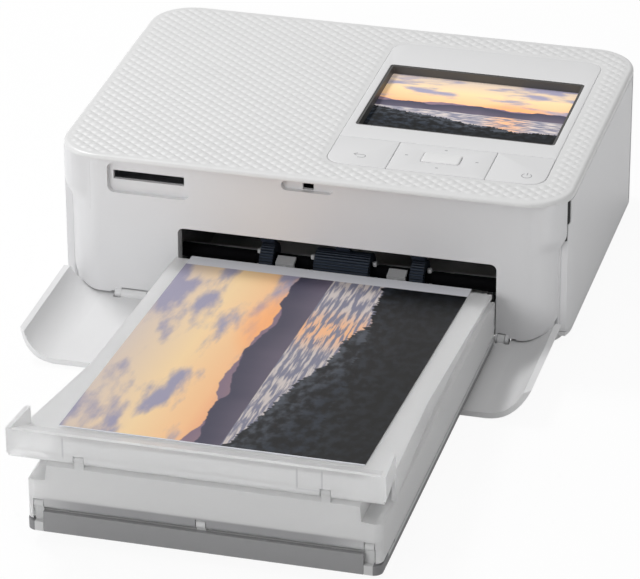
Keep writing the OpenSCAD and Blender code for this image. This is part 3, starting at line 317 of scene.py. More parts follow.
def corner_band(name, s, z0, z1, start, y_end, inset, thick, material, columns=16, rows=14, lip=0):
    """A curved wall at a front corner, s = -1 left or 1 right. inset(angle, z) is how far its outer
    face lies inside the body's outline; it runs from a start angle to a depth y_end, near end_angle.
    A lip makes its upper edge taller where the top cover's rim is cut."""
    bm = bmesh.new()
    faces = []
    end_angle = -24
    for back_by in (0, thick):
        grid = []
        for k in range(rows + 1):
            z = z0 + (z1 - z0) * k / rows
            row = []
            for i in range(columns + 1):
                end_r = corner_r - inset(end_angle, z) - back_by
                reach = math.degrees(math.asin((y_end - corner_y) / end_r))
                a = start + (reach - start) * i / columns
                r = corner_r - inset(a, z) - back_by
                x = corner_x + r * math.cos(math.radians(a))
                y = corner_y + r * math.sin(math.radians(a))
                tall = lip if k == rows and y < rim_cut_rear else 0
                row.append(bm.verts.new((s * x, min(y, y_end), z + tall)))
            grid.append(row)
        faces.append(grid)
    outer, inner = faces
    for k in range(rows):
        for i in range(columns):
            for grid in faces:
                bm.faces.new((grid[k][i], grid[k][i + 1], grid[k + 1][i + 1], grid[k + 1][i]))
        for i in (0, columns):
            bm.faces.new((outer[k][i], inner[k][i], inner[k + 1][i], outer[k + 1][i]))
    for k in (0, rows):
        for i in range(columns):
            bm.faces.new((outer[k][i], inner[k][i], inner[k][i + 1], outer[k][i + 1]))
    return made_piece(name, bm, material, "printer", 40)


# the heights and angles between which the fairing's face comes forward, and how little it stands
# before the panel and behind the wall
forward_z, forward_angle, proud, shy = (0.0355, 0.0425), (-76, -46), 0.00004, 0.00001


def flush_above(angle, z):
    """Inset of the fairing: level with the front panel low down and with the side wall higher up."""
    raised = smooth_step(z, *forward_z) * smooth_step(angle, *forward_angle)
    return (panel_recess - proud) * (1 - raised) + shy


# light fairings close the seams between the front panel and the side walls, seals close the slits
# behind them, and behind the fingertip gap at the door black sheets lie as painted shadow in the gap
skirt_inset, seal_inset, shadow_sheet_inset = 0.0033, 0.0021, 0.0003
for side_name, s in (("left", -1), ("right", 1)):
    corner_band("corner_fairing_" + side_name, s, 0.0350, 0.05497, -76, 0.0242, flush_above, 0.0005,
        case_white, rows=20, lip=rim_cut)
    corner_band("corner_skirt_" + side_name, s, 0.0036, 0.0200, -84, 0.0244, lambda a, z: skirt_inset, 0.001,
        case_white)
seal_start, seal_wall = -26.9, 0.0015
for side_name, s, z0, z1, y_end in (("left", -1, 0.0036, 0.0548, 0.0270),
        ("right", 1, 0.0052, 0.0400, 0.0249)):
    corner_band("seam_seal_" + side_name, s, z0, z1, seal_start, y_end, lambda a, z: seal_inset, seal_wall,
        case_white, 4, 4)
# black sheets inside the fingertip gap: painted shadow where the gap is deep
painted_shadow_black = plastic("painted_shadow_black", (0.012, 0.012, 0.013), 0.7)
for name, z0, z1, start, y_end, thick, cuts in (("grip_shadow_sheet", 0.0461, 0.0548, -23.4, 0.0266, 0.0015, 4),
        ("grip_shadow_sheet_low", 0.0400, 0.0460, -23.6, 0.02493, 0.002, 2)):
    corner_band(name, 1, z0, z1, start, y_end, lambda a, z: shadow_sheet_inset, thick, painted_shadow_black,
        cuts, cuts)

# ---------------------------------------------------------------- top cover
# One white moulding with a soft edge. Its top carries rows of shallow diamond pillows, 5.2 mm wide
# and 4.2 mm deep, that stop 2 mm short of the edge and 1 mm short of the control panel.


def round_rect(cx, cy, w, d, r, steps=12):
    """Points of a rectangle with round corners, anticlockwise from the right side's front end."""
    points = []
    for ox, oy, a0 in ((1, -1, -90), (1, 1, 0), (-1, 1, 90), (-1, -1, 180)):
        for k in range(steps + 1):
            a = math.radians(a0 + 90 * k / steps)
            points.append((cx + ox * (w / 2 - r) + r * math.cos(a), cy + oy * (d / 2 - r) + r * math.sin(a)))
    return points


def shift_inward(points, by):
    """An outline moved inward by a distance, each point along its own normal."""
    moved = []
    n = len(points)
    for i in range(n):
        ax, ay = points[i - 1]
        bx, by_ = points[i]
        cx, cy = points[(i + 1) % n]
        n1 = Vector((ay - by_, bx - ax))
        n2 = Vector((by_ - cy, cx - bx))
        if n1.length < 1e-7:
            n1 = n2
        if n2.length < 1e-7:
            n2 = n1
        n1.normalize()
        n2.normalize()
        mid = n1 + n2
        mid /= max(mid.length_squared / 2, 1e-6)
        moved.append((bx + mid.x * by, by_ + mid.y * by))
    return moved


def soft_slab(bm, outer, holes, z0, z1, edge, hole_edge=0.0003, segments=4, overhang=None):
    """A slab between z0 and z1 whose upper edges, outside and round the holes, are rounded.
    An overhang (width, height, rear end) raises the rim of its underside, in front of that end."""
    lower, upper = [], []
    for points, r, inward in [(outer, edge, 1)] + [(h, hole_edge, -1) for h in holes]:
        rings = [[bm.verts.new((x, y, z0)) for x, y in points]]
        if overhang and inward > 0:
            width, raise_by, rear = overhang
            lift = [raise_by if y < rear else 0 for x, y in points]
            inner = shift_inward(points, width)
            rings = [rings[0], [bm.verts.new((x, y, z0 + up)) for (x, y), up in zip(inner, lift)], rings[0]]
            rings[0] = [bm.verts.new((x, y, z0)) for x, y in inner]
            for v, up in zip(rings[2], lift):
                v.co.z += up
        for k in range(segments + 1):
            a = math.radians(90 * k / segments)
            ring = shift_inward(points, inward * r * (1 - math.cos(a)))
            rings.append([bm.verts.new((x, y, z1 - r + r * math.sin(a))) for x, y in ring])
        for low, high in zip(rings, rings[1:]):
            for i in range(len(low)):
                j = (i + 1) % len(low)
                bm.faces.new((low[i], low[j], high[j], high[i]))
        lower.append(rings[0])
        upper.append(rings[-1])
    for loops in (lower, upper):
        edges = [bm.edges.get((ring[i - 1], ring[i])) for ring in loops for i in range(len(ring))]
        bmesh.ops.triangle_fill(bm, use_beauty=True, use_dissolve=False, edges=edges)


front_y = 0.0145                 # the body's foremost plane lies this far behind the origin, seen from -Y
body_w, body_d = 0.1822, 0.133
body_c = front_y + 0.0665
panel_c = (0.04125, front_y + 0.015 + 0.05225)
cover_low, cover_high, cover_edge = 0.055, 0.0573, 0.0015
rim = (0.0045, 0.001, front_y + 0.005)          # width and height of the cut under it, and its rear end
top_white = plastic("top_white", (0.76, 0.76, 0.76), 0.28, depth=0.000008)
bm = bmesh.new()
cover_outline = round_rect(0, body_c, body_w, body_d, corner_r, 16)
pocket = round_rect(*panel_c, 0.07752, 0.10452, 0.006, 8)
soft_slab(bm, cover_outline, [pocket], cover_low, cover_high, cover_edge, segments=6, overhang=rim)

# centre, width, depth and corner radius of the patterned field and of the plain place in it
field = (0, body_c, 0.1786, 0.1290, 0.0142)
plain_place = (*panel_c, 0.0799, 0.1069, 0.0072)


def depth_inside(x, y, cx, cy, w, d, r):
    """How far a point lies inside a rectangle with round corners."""
    qx, qy = abs(x - cx) - w / 2 + r, abs(y - cy) - d / 2 + r
    return r - math.hypot(max(qx, 0), max(qy, 0)) - min(max(qx, qy), 0)


def inside_margin(x, y):
    """How far a point of the top lies inside the patterned field, in metres."""
    return min(depth_inside(x, y, *field), -depth_inside(x, y, *plain_place))


# a pillow's foot lies just under the cover's face; pillows fade out towards the field's edge, and
# one that hardly rises over the face is left out
pillow_w, pillow_d, pillow_h, cut = 0.0052, 0.00418, 0.0004, 8
pillow_foot, pillow_least, pillow_fade = 0.05729, 0.05731, 0.002
for row in range(-33, 34):
    for column in range(-19, 20):
        cx = (column + 0.5 * (row % 2)) * pillow_w
        cy = body_c + row * pillow_d / 2
        if inside_margin(cx, cy) < -pillow_w / 2:
            continue
        ring = {}
        for i in range(cut + 1):
            for j in range(cut + 1):
                a, b = i / cut - 0.5, j / cut - 0.5
                x, y = cx + (a + b) * pillow_w / 2, cy + (a - b) * pillow_d / 2
                rise = math.cos(math.pi * a) * math.cos(math.pi * b)
                fade = smooth_step(inside_margin(x, y), 0, pillow_fade)
                ring[i, j] = (x, y, pillow_foot + pillow_h * fade * rise)
        if max(p[2] for p in ring.values()) < pillow_least:
            continue
        made = {k: bm.verts.new(p) for k, p in ring.items()}
        for i in range(cut):
            for j in range(cut):
                corners = [(i, j), (i + 1, j), (i + 1, j + 1), (i, j + 1)]
                if max(ring[k][2] for k in corners) > cover_high:
                    bm.faces.new([made[k] for k in corners])
bmesh.ops.delete(bm, geom=[v for v in bm.verts if not v.link_faces], context="VERTS")
top = made_piece("top_cover_skin", bm, top_white, "printer", 40)
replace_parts(top, "top_cover")

# ---------------------------------------------------------------- front cover
# The cover of the paper bay, a white moulded plate with bent-up sides. It is folded down in front
# of the body on two steel pins. Its white is a little greyer than the casing's: painted shade for the less
# light low down.

# the casing's white, darkened a little as painted shade
finish_node(plastic("front_white", (0.76, 0.76, 0.765), 0.36), "front_cover")
ease_edges(0.0005, "front_cover")

# ---------------------------------------------------------------- control panel and keys
# A smooth white panel let into the cover, with a window for the display. In front of the
# window lie three keys cut from the same sheet; the middle one is a four-way pad round a button.

panel_white = plastic("panel_white", (0.77, 0.77, 0.775), 0.34, grain=2600, depth=0.000006, mottle=0.015)
window_x, window_y, window_w, window_d = panel_c[0] - 0.03575, front_y + 0.0475, 0.0715, 0.0525
window = round_rect(panel_c[0], window_y + 0.02625, window_w, window_d, 0.0012, 5)


def panel_part(x0, x1, y0, y1, corners, r=0.006, steps=8):
    """Outline of a piece of the panel; corners are the panel's round ones that it takes in."""
    points = []
    for sx, sy, a0 in ((1, -1, -90), (1, 1, 0), (-1, 1, 90), (-1, -1, 180)):
        q = r if (sx, sy) in corners else 0.0004
        x, y = (x1 if sx > 0 else x0) - sx * q, (y1 if sy > 0 else y0) - sy * q
        for k in range(steps + 1):
            a = math.radians(a0 + 90 * k / steps)
            points.append((x + q * math.cos(a), y + q * math.sin(a)))
    return points


panel_x0, panel_x1 = panel_c[0] - 0.03875, panel_c[0] + 0.03875
panel_low, panel_high, key_low, key_edge = 0.0558, 0.0574, 0.056, 0.0003
plate_y0, plate_y1 = front_y + 0.037, front_y + 0.1195
bm = bmesh.new()
soft_slab(bm, panel_part(panel_x0, panel_x1, plate_y0, plate_y1, ((1, 1), (-1, 1))), [window],
    panel_low, panel_high, 0.0004)
panel = made_piece("panel_plate", bm, panel_white, "printer")
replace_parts(panel, "control_panel")


def key_stem(bm, x, y, top=0.0561, low=0.0535, radius=0.0015):
    """The peg under a key that presses its switch."""
    bmesh.ops.create_cone(bm, cap_ends=True, segments=20, radius1=radius, radius2=radius, depth=top - low,
        matrix=Matrix.Translation((x, y, (top + low) / 2)))


# the outer keys: name, left and right end, round corner and the place of the stem
keys_y0, keys_y1, key_gap = front_y + 0.015 + 0.00012, front_y + 0.0368, 0.0002
pad_x0, pad_x1 = 0.0247, 0.0593
for key, x0, x1, corner, stem_x in (
        ("menu_key", panel_x0 + 0.00012, pad_x0 - key_gap, (-1, -1), 0.0137),
        ("power_key", pad_x1 + key_gap, panel_x1 - 0.00015, (1, -1), 0.0693)):
    bm = bmesh.new()
    soft_slab(bm, panel_part(x0, x1, keys_y0, keys_y1, (corner,)), [], key_low, panel_high, key_edge)
    key_stem(bm, stem_x, front_y + 0.024)
    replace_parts(made_piece(key + "_cap", bm, panel_white, key), key)

# the pad, with stems beside the opening for the button, and the button, 0.3 mm higher
ok_c = (0.0416, front_y + 0.0272)
opening = round_rect(*ok_c, 0.0138, 0.0078, 0.0012, 5)
pad_stem = 0.012
bm = bmesh.new()
soft_slab(bm, panel_part(pad_x0, pad_x1, keys_y0, keys_y1, ()), [opening], key_low, panel_high, key_edge,
    hole_edge=0.0004)
for dx in (-pad_stem, pad_stem):
    key_stem(bm, ok_c[0] + dx, ok_c[1])
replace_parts(made_piece("pad_key_cap", bm, panel_white, "pad_key"), "pad_key")
bm = bmesh.new()
soft_slab(bm, round_rect(*ok_c, 0.0134, 0.0074, 0.001, 5), [], key_low, 0.0577, 0.0005)
key_stem(bm, *ok_c)
ok_white = plastic("ok_white", (0.83, 0.83, 0.83), 0.25, grain=2600, depth=0.000004, mottle=0.01)
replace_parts(made_piece("ok_key_cap", bm, ok_white, "ok_key"), "ok_key")

# a return arrow on the menu key, the usual sign on the power key and four dashes on the pad, all
# printed in grey as thin strokes
mark_grey = plastic("mark_grey", (0.36, 0.36, 0.37), 0.5, depth=0.000002)
mark_low, mark_high, mark_width = 0.05741, 0.05743, 0.0003


def line_mark(name, strokes, width, body):
    """Thin printed strokes that lie on a key; each stroke is a list of points seen from above."""
    bm = bmesh.new()
    for points in strokes:
        rows = []
        for i, (x, y) in enumerate(points):
            ax, ay = points[max(i - 1, 0)]
            bx, by = points[min(i + 1, len(points) - 1)]
            across = Vector((ay - by, bx - ax)).normalized() * width / 2
            rows.append([bm.verts.new((x + s * across.x, y + s * across.y, z))
                for s, z in ((1, mark_low), (1, mark_high), (-1, mark_high), (-1, mark_low))])
        for a, b in zip(rows, rows[1:]):
            for k in range(4):
                bm.faces.new((a[k], a[(k + 1) % 4], b[(k + 1) % 4], b[k]))
        for end in (rows[0], rows[-1]):
            bm.faces.new(end)
    return made_piece(name, bm, mark_grey, body)


def arc(cx, cy, rx, ry, a0, a1, steps=20):
    """Points of a part of an ellipse, from an angle to another in degrees."""
    angles = [math.radians(a0 + (a1 - a0) * k / steps) for k in range(steps + 1)]
    return [(cx + rx * math.cos(a), cy + ry * math.sin(a)) for a in angles]


ax, ay = 0.0135, front_y + 0.0225
hook = ([(ax - 0.0022, ay + 0.0011), (ax + 0.0009, ay + 0.0011)]
    + arc(ax + 0.0009, ay, 0.0012, 0.0011, 80, -80)
    + [(ax + 0.0007, ay - 0.0011), (ax - 0.0006, ay - 0.0011)])
tip = [(ax - 0.0011, ay + 0.0022), (ax - 0.0023, ay + 0.0011), (ax - 0.0011, ay)]
line_mark("menu_key_mark", [hook, tip], mark_width, "menu_key")
px, py = 0.0729, front_y + 0.0213
line_mark("power_key_mark", [arc(px, py, 0.0017, 0.0017, 125, 415), [(px, py + 0.0004), (px, py + 0.0023)]],
    mark_width, "power_key")
dash = 0.0005                    # half the length of a pad mark, and its width
for label, dx, dy in (("left", -0.0125, 0), ("right", 0.0125, 0), ("front", 0, -0.0076), ("rear", 0, 0.0067)):
    cx, cy = ok_c[0] + dx, ok_c[1] + dy
    line_mark("pad_mark_" + label, [[(cx - dash, cy), (cx + dash, cy)]], dash, "pad_key")

# ---------------------------------------------------------------- display
# A colour display lies 3 mm down behind a dark frame that lines the window. The picture that it
# shows is a plain evening landscape: ridges and a lake under a warm sky.


def tone(r, g, b):
    """A colour given in everyday 0 to 255 levels."""
    return tuple(((c / 255 + 0.055) / 1.055) ** 2.4 for c in (r, g, b)) + (1,)


def ramp(tree, value, *stops):
    """A colour ramp with (place, colour) stops; gives its colour's socket."""
    n = tree.nodes.new("ShaderNodeValToRGB")
    while len(n.color_ramp.elements) < len(stops):
        n.color_ramp.elements.new(0.5)
    for e, (at, colour) in zip(n.color_ramp.elements, stops):
        e.position = at
        e.color = colour
    tree.links.new(value, n.inputs[0])
    return n.outputs[0]


def blended(tree, mask, first, second):
    """The first colour where the mask is 0 and the second where it is 1."""
    n = tree.nodes.new("ShaderNodeMix")
    n.data_type = "RGBA"
    tree.links.new(mask, n.inputs[0])
    for slot, colour in ((n.inputs[6], first), (n.inputs[7], second)):
        if isinstance(colour, tuple):
            slot.default_value = colour
        else:
            tree.links.new(colour, slot)
    return n.outputs[2]


def rising(tree, value, low, high):
    """0 where the value is under low, 1 over high and smooth between."""
    n = tree.nodes.new("ShaderNodeMapRange")
    n.interpolation_type = "SMOOTHSTEP"
    tree.links.new(value, n.inputs["Value"])
    n.inputs["From Min"].default_value = low
    n.inputs["From Max"].default_value = high
    return n.outputs["Result"]


# U runs from the picture's left to its right and V from its foot to its top, both from 0 to 1
dusk_group, into, out = new_group("dusk_view", {"U": 0.0, "V": 0.0}, {"Colour": (0.5, 0.5, 0.5, 1)})
g = dusk_group
spread = g.nodes.new("ShaderNodeCombineXYZ")
g.links.new(calc(g, "MULTIPLY", into["U"], 1.48), spread.inputs[0])
g.links.new(into["V"], spread.inputs[1])
spot = spread.outputs[0]
sun_u, sun_v = 0.70, 0.56        # where the sun has gone down
sky = ramp(g, into["V"], (0.52, tone(240, 158, 118)), (0.62, tone(248, 196, 146)),
    (0.78, tone(246, 214, 166)), (1.0, tone(214, 198, 186)))
drift = noise(g, spot, 2.2, 6, (1.0, 3.4, 1.0))
cloud = rising(g, calc(g, "MULTIPLY_ADD", into["V"], 0.22, drift), 0.66, 0.80)
view = blended(g, cloud, sky, tone(158, 154, 176))
across = calc(g, "SUBTRACT", into["U"], sun_u)
above = calc(g, "POWER", calc(g, "SUBTRACT", into["V"], sun_v), 2.0)
away = calc(g, "ADD", calc(g, "POWER", across, 2.0), calc(g, "MULTIPLY", above, 3.0))
view = blended(g, calc(g, "MULTIPLY", rising(g, away, 0.06, 0.0), 0.75), view, tone(255, 176, 112))
profile = g.nodes.new("ShaderNodeCombineXYZ")
g.links.new(into["U"], profile.inputs[0])


def ridge(base, lean, height, scale, seed, low_colour, high_colour, jag=0.0):
    """Lays a range of hills over the view, up to a noisy skyline; trees give it a jagged edge and clumps."""
    profile_at = g.nodes.new("ShaderNodeVectorMath")
    profile_at.operation = "ADD"
    g.links.new(profile.outputs[0], profile_at.inputs[0])
    profile_at.inputs[1].default_value = (seed, seed * 0.7, 0)
    skyline = calc(g, "MULTIPLY_ADD", noise(g, profile_at.outputs[0], scale, 5), height, base - height / 2)
    skyline = calc(g, "ADD", skyline, calc(g, "MULTIPLY", into["U"], lean))
    if jag:
        skyline = calc(g, "ADD", skyline, calc(g, "MULTIPLY", noise(g, profile_at.outputs[0], 85, 1), jag))
    depth = calc(g, "SUBTRACT", skyline, into["V"])
    slope = blended(g, rising(g, depth, 0.0, 0.16), high_colour, low_colour)
    if jag:
        clumps = rising(g, noise(g, spot, 15.0 + seed, 6, (1.0, 1.5, 1.0)), 0.40, 0.66)
        slope = scaled(g, slope, calc(g, "MULTIPLY_ADD", clumps, 3.2, 0.35))
    return blended(g, rising(g, depth, 0.0, 0.006), view, slope)


# two far ranges, the lake with the sky's glow on its ripples, and two wooded banks in front
view = ridge(0.60, -0.02, 0.20, 3.1, 4.3, tone(176, 142, 140), tone(132, 112, 128))
view = ridge(0.56, 0.04, 0.22, 3.6, 9.1, tone(104, 96, 112), tone(72, 70, 88))
ripple = noise(g, spot, 7.0, 5, (1.2, 12.0, 1.0))
lake = blended(g, rising(g, ripple, 0.44, 0.60), tone(128, 128, 146), tone(206, 196, 192))
under_sun = rising(g, calc(g, "ABSOLUTE", across), 0.16, 0.0)
lake = blended(g, calc(g, "MULTIPLY", under_sun, rising(g, ripple, 0.42, 0.56)), lake, tone(244, 186, 140))
view = blended(g, rising(g, into["V"], 0.472, 0.468), view, lake)
view = ridge(0.44, -0.26, 0.16, 4.0, 1.7, tone(18, 22, 28), tone(40, 43, 48), 0.05)
view = ridge(0.15, 0.10, 0.10, 5.0, 6.2, tone(8, 10, 13), tone(16, 19, 23), 0.07)
g.links.new(view, out["Colour"])


def picture_material(name, along_u, along_v, gloss, glow=0.0, margin=None, **constants):
    """The evening landscape over a flat piece; along_u and along_v are (axis, start, length).
    Outside a margin (front, rear) the sheet is bare, and a display also glows."""
    m = bpy.data.materials.new(name)
    m.use_nodes = True
    tree = m.node_tree
    shader = tree.nodes["Principled BSDF"]
    place = spot_of(tree)
    at = split(tree, place)
    source = tree.nodes.new("ShaderNodeGroup")
    source.node_tree = dusk_group
    for label, (axis, start, length) in (("U", along_u), ("V", along_v)):
        along = calc(tree, "DIVIDE", calc(tree, "SUBTRACT", at[axis], start), length)
        tree.links.new(along, source.inputs[label])
    colour = source.outputs["Colour"]
    if margin:
        bare = calc(tree, "MAXIMUM", calc(tree, "GREATER_THAN", at["Y"], margin[1]),
            calc(tree, "LESS_THAN", at["Y"], margin[0]))
        colour = blended(tree, bare, colour, tone(226, 227, 233))
    tree.links.new(colour, shader.inputs["Base Color"])
    sheen = noise(tree, place, 60, 3)
    tree.links.new(calc(tree, "MULTIPLY_ADD", sheen, 0.06, gloss), shader.inputs["Roughness"])
    if glow:
        tree.links.new(colour, shader.inputs["Emission Color"])
        shader.inputs["Emission Strength"].default_value = glow
    for label, value in constants.items():
        shader.inputs[label.replace("_", " ")].default_value = value
    return m


finish_node(picture_material("display_face", ("X", window_x, window_w), ("Y", window_y, window_d), 0.08,
    glow=0.35, Specular_IOR_Level=0.15), "display_module")
bezel_dark = plastic("bezel_dark", (0.085, 0.083, 0.08), 0.45, depth=0.000008)
finish_node(bezel_dark, "display_bezel")

# the frame's lining, a thin wall all round the window
lining_low, lining_high, lining_wall = 0.0542, 0.05725, 0.00012
bm = bmesh.new()
outer, inner = ([bm.verts.new((x, y, z)) for z in (lining_low, lining_high) for x, y in points]
    for points in (window, shift_inward(window, lining_wall)))
n = len(window)
for k in range(n):
    j = (k + 1) % n
    bm.faces.new((outer[k], outer[j], outer[n + j], outer[n + k]))
    bm.faces.new((inner[k], inner[j], inner[n + j], inner[n + k]))
    bm.faces.new((outer[n + k], outer[n + j], inner[n + j], inner[n + k]))
    bm.faces.new((outer[k], outer[j], inner[j], inner[k]))
made_piece("window_lining", bm, bezel_dark, "printer")

# ---------------------------------------------------------------- boards
# The main board stands on the left side frame under the card reader; a small board carries the
# switches under the keys. Both are green laminate with dark parts on top.

board_group, into, out = new_group("printed_board",
    {"Mask": (0.02, 0.12, 0.06, 1), "Copper": (0.05, 0.22, 0.1, 1), "Part height": 1.0},
    {"Colour": (0.1, 0.3, 0.1, 1), "Roughness": 0.3, "Height": 0.0})
g = board_group
track_scale, track_width, track_depth = 160, 0.035, 0.00003
place = spot_of(g)
tracks = g.nodes.new("ShaderNodeTexBrick")
tracks.inputs["Scale"].default_value = track_scale
tracks.inputs["Mortar Size"].default_value = track_width
g.links.new(place, tracks.inputs["Vector"])
part = calc(g, "GREATER_THAN", split(g, place)["Z"], into["Part height"])
bare = blended(g, tracks.outputs["Fac"], into["Mask"], into["Copper"])
g.links.new(blended(g, part, bare, tone(38, 38, 40)), out["Colour"])
g.links.new(calc(g, "MULTIPLY_ADD", noise(g, place, 300), 0.15, 0.3), out["Roughness"])
g.links.new(tracks.outputs["Fac"], out["Height"])
main_board_top, key_board_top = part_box("main_board")[0][2] + 0.00165, 0.05255
for label, board_top in (("main_board", main_board_top), ("key_board", key_board_top)):
    finish_node(material_from(label + "_green", board_group, {"Part height": board_top}, track_depth), label)

# ---------------------------------------------------------------- chassis and drive
# Zinc-plated steel side frames carry the ground shafts. A small motor turns the capstan and the
# exit shaft through nylon gears; the exit shaft has three ribbed rubber tyres.

metal_group, into, out = new_group("drawn_metal",
    {"Colour": (0.6, 0.6, 0.6, 1), "Roughness": 0.3, "Stretch": (60, 1500, 1500)},
    {"Colour": (0.6, 0.6, 0.6, 1), "Roughness": 0.3, "Height": 0.0})
g = metal_group
cloud_scale, cloud_spread, gloss_spread = 55, 0.3, 0.16
place = spot_of(g)
streak = noise(g, place, 1.0, 3, into["Stretch"])
cloudy = noise(g, place, cloud_scale, 3)
shading = calc(g, "MULTIPLY_ADD", cloudy, cloud_spread, 1 - cloud_spread / 2)
g.links.new(scaled(g, into["Colour"], shading), out["Colour"])
g.links.new(calc(g, "MULTIPLY_ADD", streak, gloss_spread, into["Roughness"]), out["Roughness"])
g.links.new(streak, out["Height"])


def metal(name, colour, roughness=0.3, stretch=(60, 1500, 1500), depth=0.000004, **constants):
    """A metal whose drawing or rolling marks run along the axis with the smallest stretch."""
    return material_from(name, metal_group, {"Colour": (*colour, 1), "Roughness": roughness,
        "Stretch": stretch}, depth, Metallic=1.0, **constants)


finish_node(metal("zinc_plate", (0.55, 0.56, 0.57), 0.34, (400, 400, 60)), "left_frame", "right_frame",
    "motor_bracket")
finish_node(plastic("tie_black", (0.02, 0.02, 0.022), 0.5), "cross_tie")
finish_node(metal("ground_steel", (0.62, 0.62, 0.63), 0.2), "head_shaft", "capstan", "cover_hinge_pins",
    "cassette_pin", "lid_pin")
finish_node(metal("pin_upright", (0.62, 0.62, 0.63), 0.25, (1500, 1500, 60)), "door_hinge_pin", "case_screws")
finish_node(metal("reader_steel", (0.55, 0.56, 0.58), 0.3, (60, 60, 900)), "card_reader")
finish_node(metal("motor_can", (0.42, 0.43, 0.44), 0.35, (900, 60, 60)), "feed_motor")
finish_node(metal("pinion_brass", (0.62, 0.44, 0.16), 0.3, (60, 900, 900)), "motor_pinion")
finish_node(metal("spring_wire", (0.45, 0.45, 0.47), 0.3, (900, 900, 900)), "head_spring", "lift_spring")
gear_nylon = plastic("gear_nylon", (0.72, 0.69, 0.58), 0.42, mottle=0.08, Subsurface_Weight=0.15,
    Subsurface_Radius=(0.002, 0.002, 0.002))
finish_node(gear_nylon, "capstan_gear", "idler_gear", "drive_gear", "exit_gear")
finish_node(plastic("wheel_dark", (0.022, 0.03, 0.05), 0.5), "exit_pinch_wheels")
finish_node(plastic("roller_dark", (0.03, 0.03, 0.032), 0.6, grain=700, depth=0.00004, mottle=0.2),
    "pinch_roller", "platen_roller")
finish_node(plastic("guide_light", (0.60, 0.60, 0.61), 0.35), "exit_guides")
ease_edges(0.0002, "exit_guides")

turned_group, into, out = new_group("round_the_axis", {"Place": (0, 0, 0), "Centre": (0, 0, 0)},
    {"Radius": 0.0, "Angle": 0.0})
g = turned_group
off = g.nodes.new("ShaderNodeVectorMath")
off.operation = "SUBTRACT"
g.links.new(into["Place"], off.inputs[0])
g.links.new(into["Centre"], off.inputs[1])
part_of = split(g, off.outputs[0])
y, z = part_of["Y"], part_of["Z"]
squares = calc(g, "ADD", calc(g, "MULTIPLY", y, y), calc(g, "MULTIPLY", z, z))
g.links.new(calc(g, "SQRT", squares), out["Radius"])
g.links.new(calc(g, "ARCTAN2", z, y), out["Angle"])


def turned(material, centre):
    """Adds the radius and angle about an X axis through a centre to a material; gives its tree, its
    shader and the sockets of the two."""
    tree = material.node_tree
    about = tree.nodes.new("ShaderNodeGroup")
    about.node_tree = turned_group
    about.inputs["Centre"].default_value = centre
    tree.links.new(spot_of(tree), about.inputs["Place"])
    return tree, tree.nodes["Principled BSDF"], about.outputs


def feeding(shader, label):
    """The socket that feeds one of a shader's inputs now."""
    return shader.inputs[label].links[0].from_socket


def turned_piece(name, profile, centre, material, body, steps=40):
    """A round piece along X from (x, radius) steps, closed at both ends."""
    bm = bmesh.new()
    rings = []
    for x, r in profile:
        rings.append([bm.verts.new((x, centre[1] + r * math.cos(2 * math.pi * k / steps),
            centre[2] + r * math.sin(2 * math.pi * k / steps))) for k in range(steps)])
    for a, b in zip(rings, rings[1:]):
        for k in range(steps):
            bm.faces.new((a[k], a[(k + 1) % steps], b[(k + 1) % steps], b[k]))
    for end in (rings[0], rings[-1]):
        bm.faces.new(end)
    return made_piece(name, bm, material, body)


def strip(name, x0, x1, y0, y1, z0, z1, material, slot, body="printer", edge=0.0001):
    """A thin moulded strip with eased upright edges and a broken top edge."""
    bm = bmesh.new()
    outline = round_rect((x0 + x1) / 2, (y0 + y1) / 2, x1 - x0, y1 - y0, min(x1 - x0, y1 - y0) * 0.45, 4)
    soft_slab(bm, outline, [], z0, z1, edge, segments=2)
    return made_piece(name, bm, material, body)


# the exit shaft, necked where four clips of the guide reach over it
exit_centre = (0, 0.029, 0.0176)
shaft_r, neck_r, end_r = 0.0025, 0.0021, 0.0023
clip_places, clip_half, neck_half, neck_step = (-0.0202, -0.0009, 0.0213, 0.0409), 0.0008, 0.0011, 0.0012
clip_y, clip_z = (0.0275, 0.0292), (0.0199, 0.0213)
# black plastic, made darker still and nearly glossless: partly its own colour, partly painted shade deep in
# the mouth
shaft_dark_shaded = plastic("exit_shaft_dark_painted_shade", (0.005, 0.005, 0.006), 0.7, Specular_IOR_Level=0.05)
clip_white = plastic("clip_white", (0.74, 0.74, 0.75), 0.4)
lo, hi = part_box("exit_shaft")
chamfer = 0.0002
profile = [(lo[0], end_r), (lo[0] + chamfer, shaft_r)]
for k, x in enumerate(clip_places):
    profile += [(x - neck_step, end_r), (x - neck_half, neck_r),
        (x + neck_half, neck_r), (x + neck_step, end_r)]
    strip("shaft_clip_%d" % (k + 1), x - clip_half, x + clip_half, *clip_y, *clip_z, clip_white,
        "guide_plastic")
profile += [(hi[0] - chamfer, shaft_r), (hi[0], end_r)]
shaft = turned_piece("exit_shaft_turned", profile, exit_centre, shaft_dark_shaded, "exit_roller")
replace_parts(shaft, "exit_shaft")

# the tyres' ribs: a relief, with painted highlight on the crests and painted shade in the grooves
ribs, rib_depth = 34.0, 0.0003
tyre = plastic("tyre_blue", (0.022, 0.034, 0.058), 0.55, grain=900, depth=0.00003, mottle=0.15)
tree, shader, about = turned(tyre, exit_centre)
rib = calc(tree, "MULTIPLY_ADD", calc(tree, "SINE", calc(tree, "MULTIPLY", about["Angle"], ribs)), 0.5, 0.5)
# painted highlight on the rib crests and painted shade in the grooves, laid over the tyre's colour
rib_highlight_and_shade_colour = scaled(tree, feeding(shader, "Base Color"), calc(tree, "MULTIPLY_ADD", rib, 0.8, 0.5))
tree.links.new(rib_highlight_and_shade_colour, shader.inputs["Base Color"])
ribbed = tree.nodes.new("ShaderNodeBump")
ribbed.inputs["Distance"].default_value = rib_depth
tree.links.new(rib, ribbed.inputs["Height"])
tree.links.new(feeding(shader, "Normal"), ribbed.inputs["Normal"])
tree.links.new(ribbed.outputs["Normal"], shader.inputs["Normal"])
finish_node(tyre, "exit_tyres")

# ---------------------------------------------------------------- print head and ribbon
# The thermal head is an extruded aluminium bar under a pressed arm. It presses the dye film of
# the ribbon cassette, a dark moulding with two spools, on the paper.

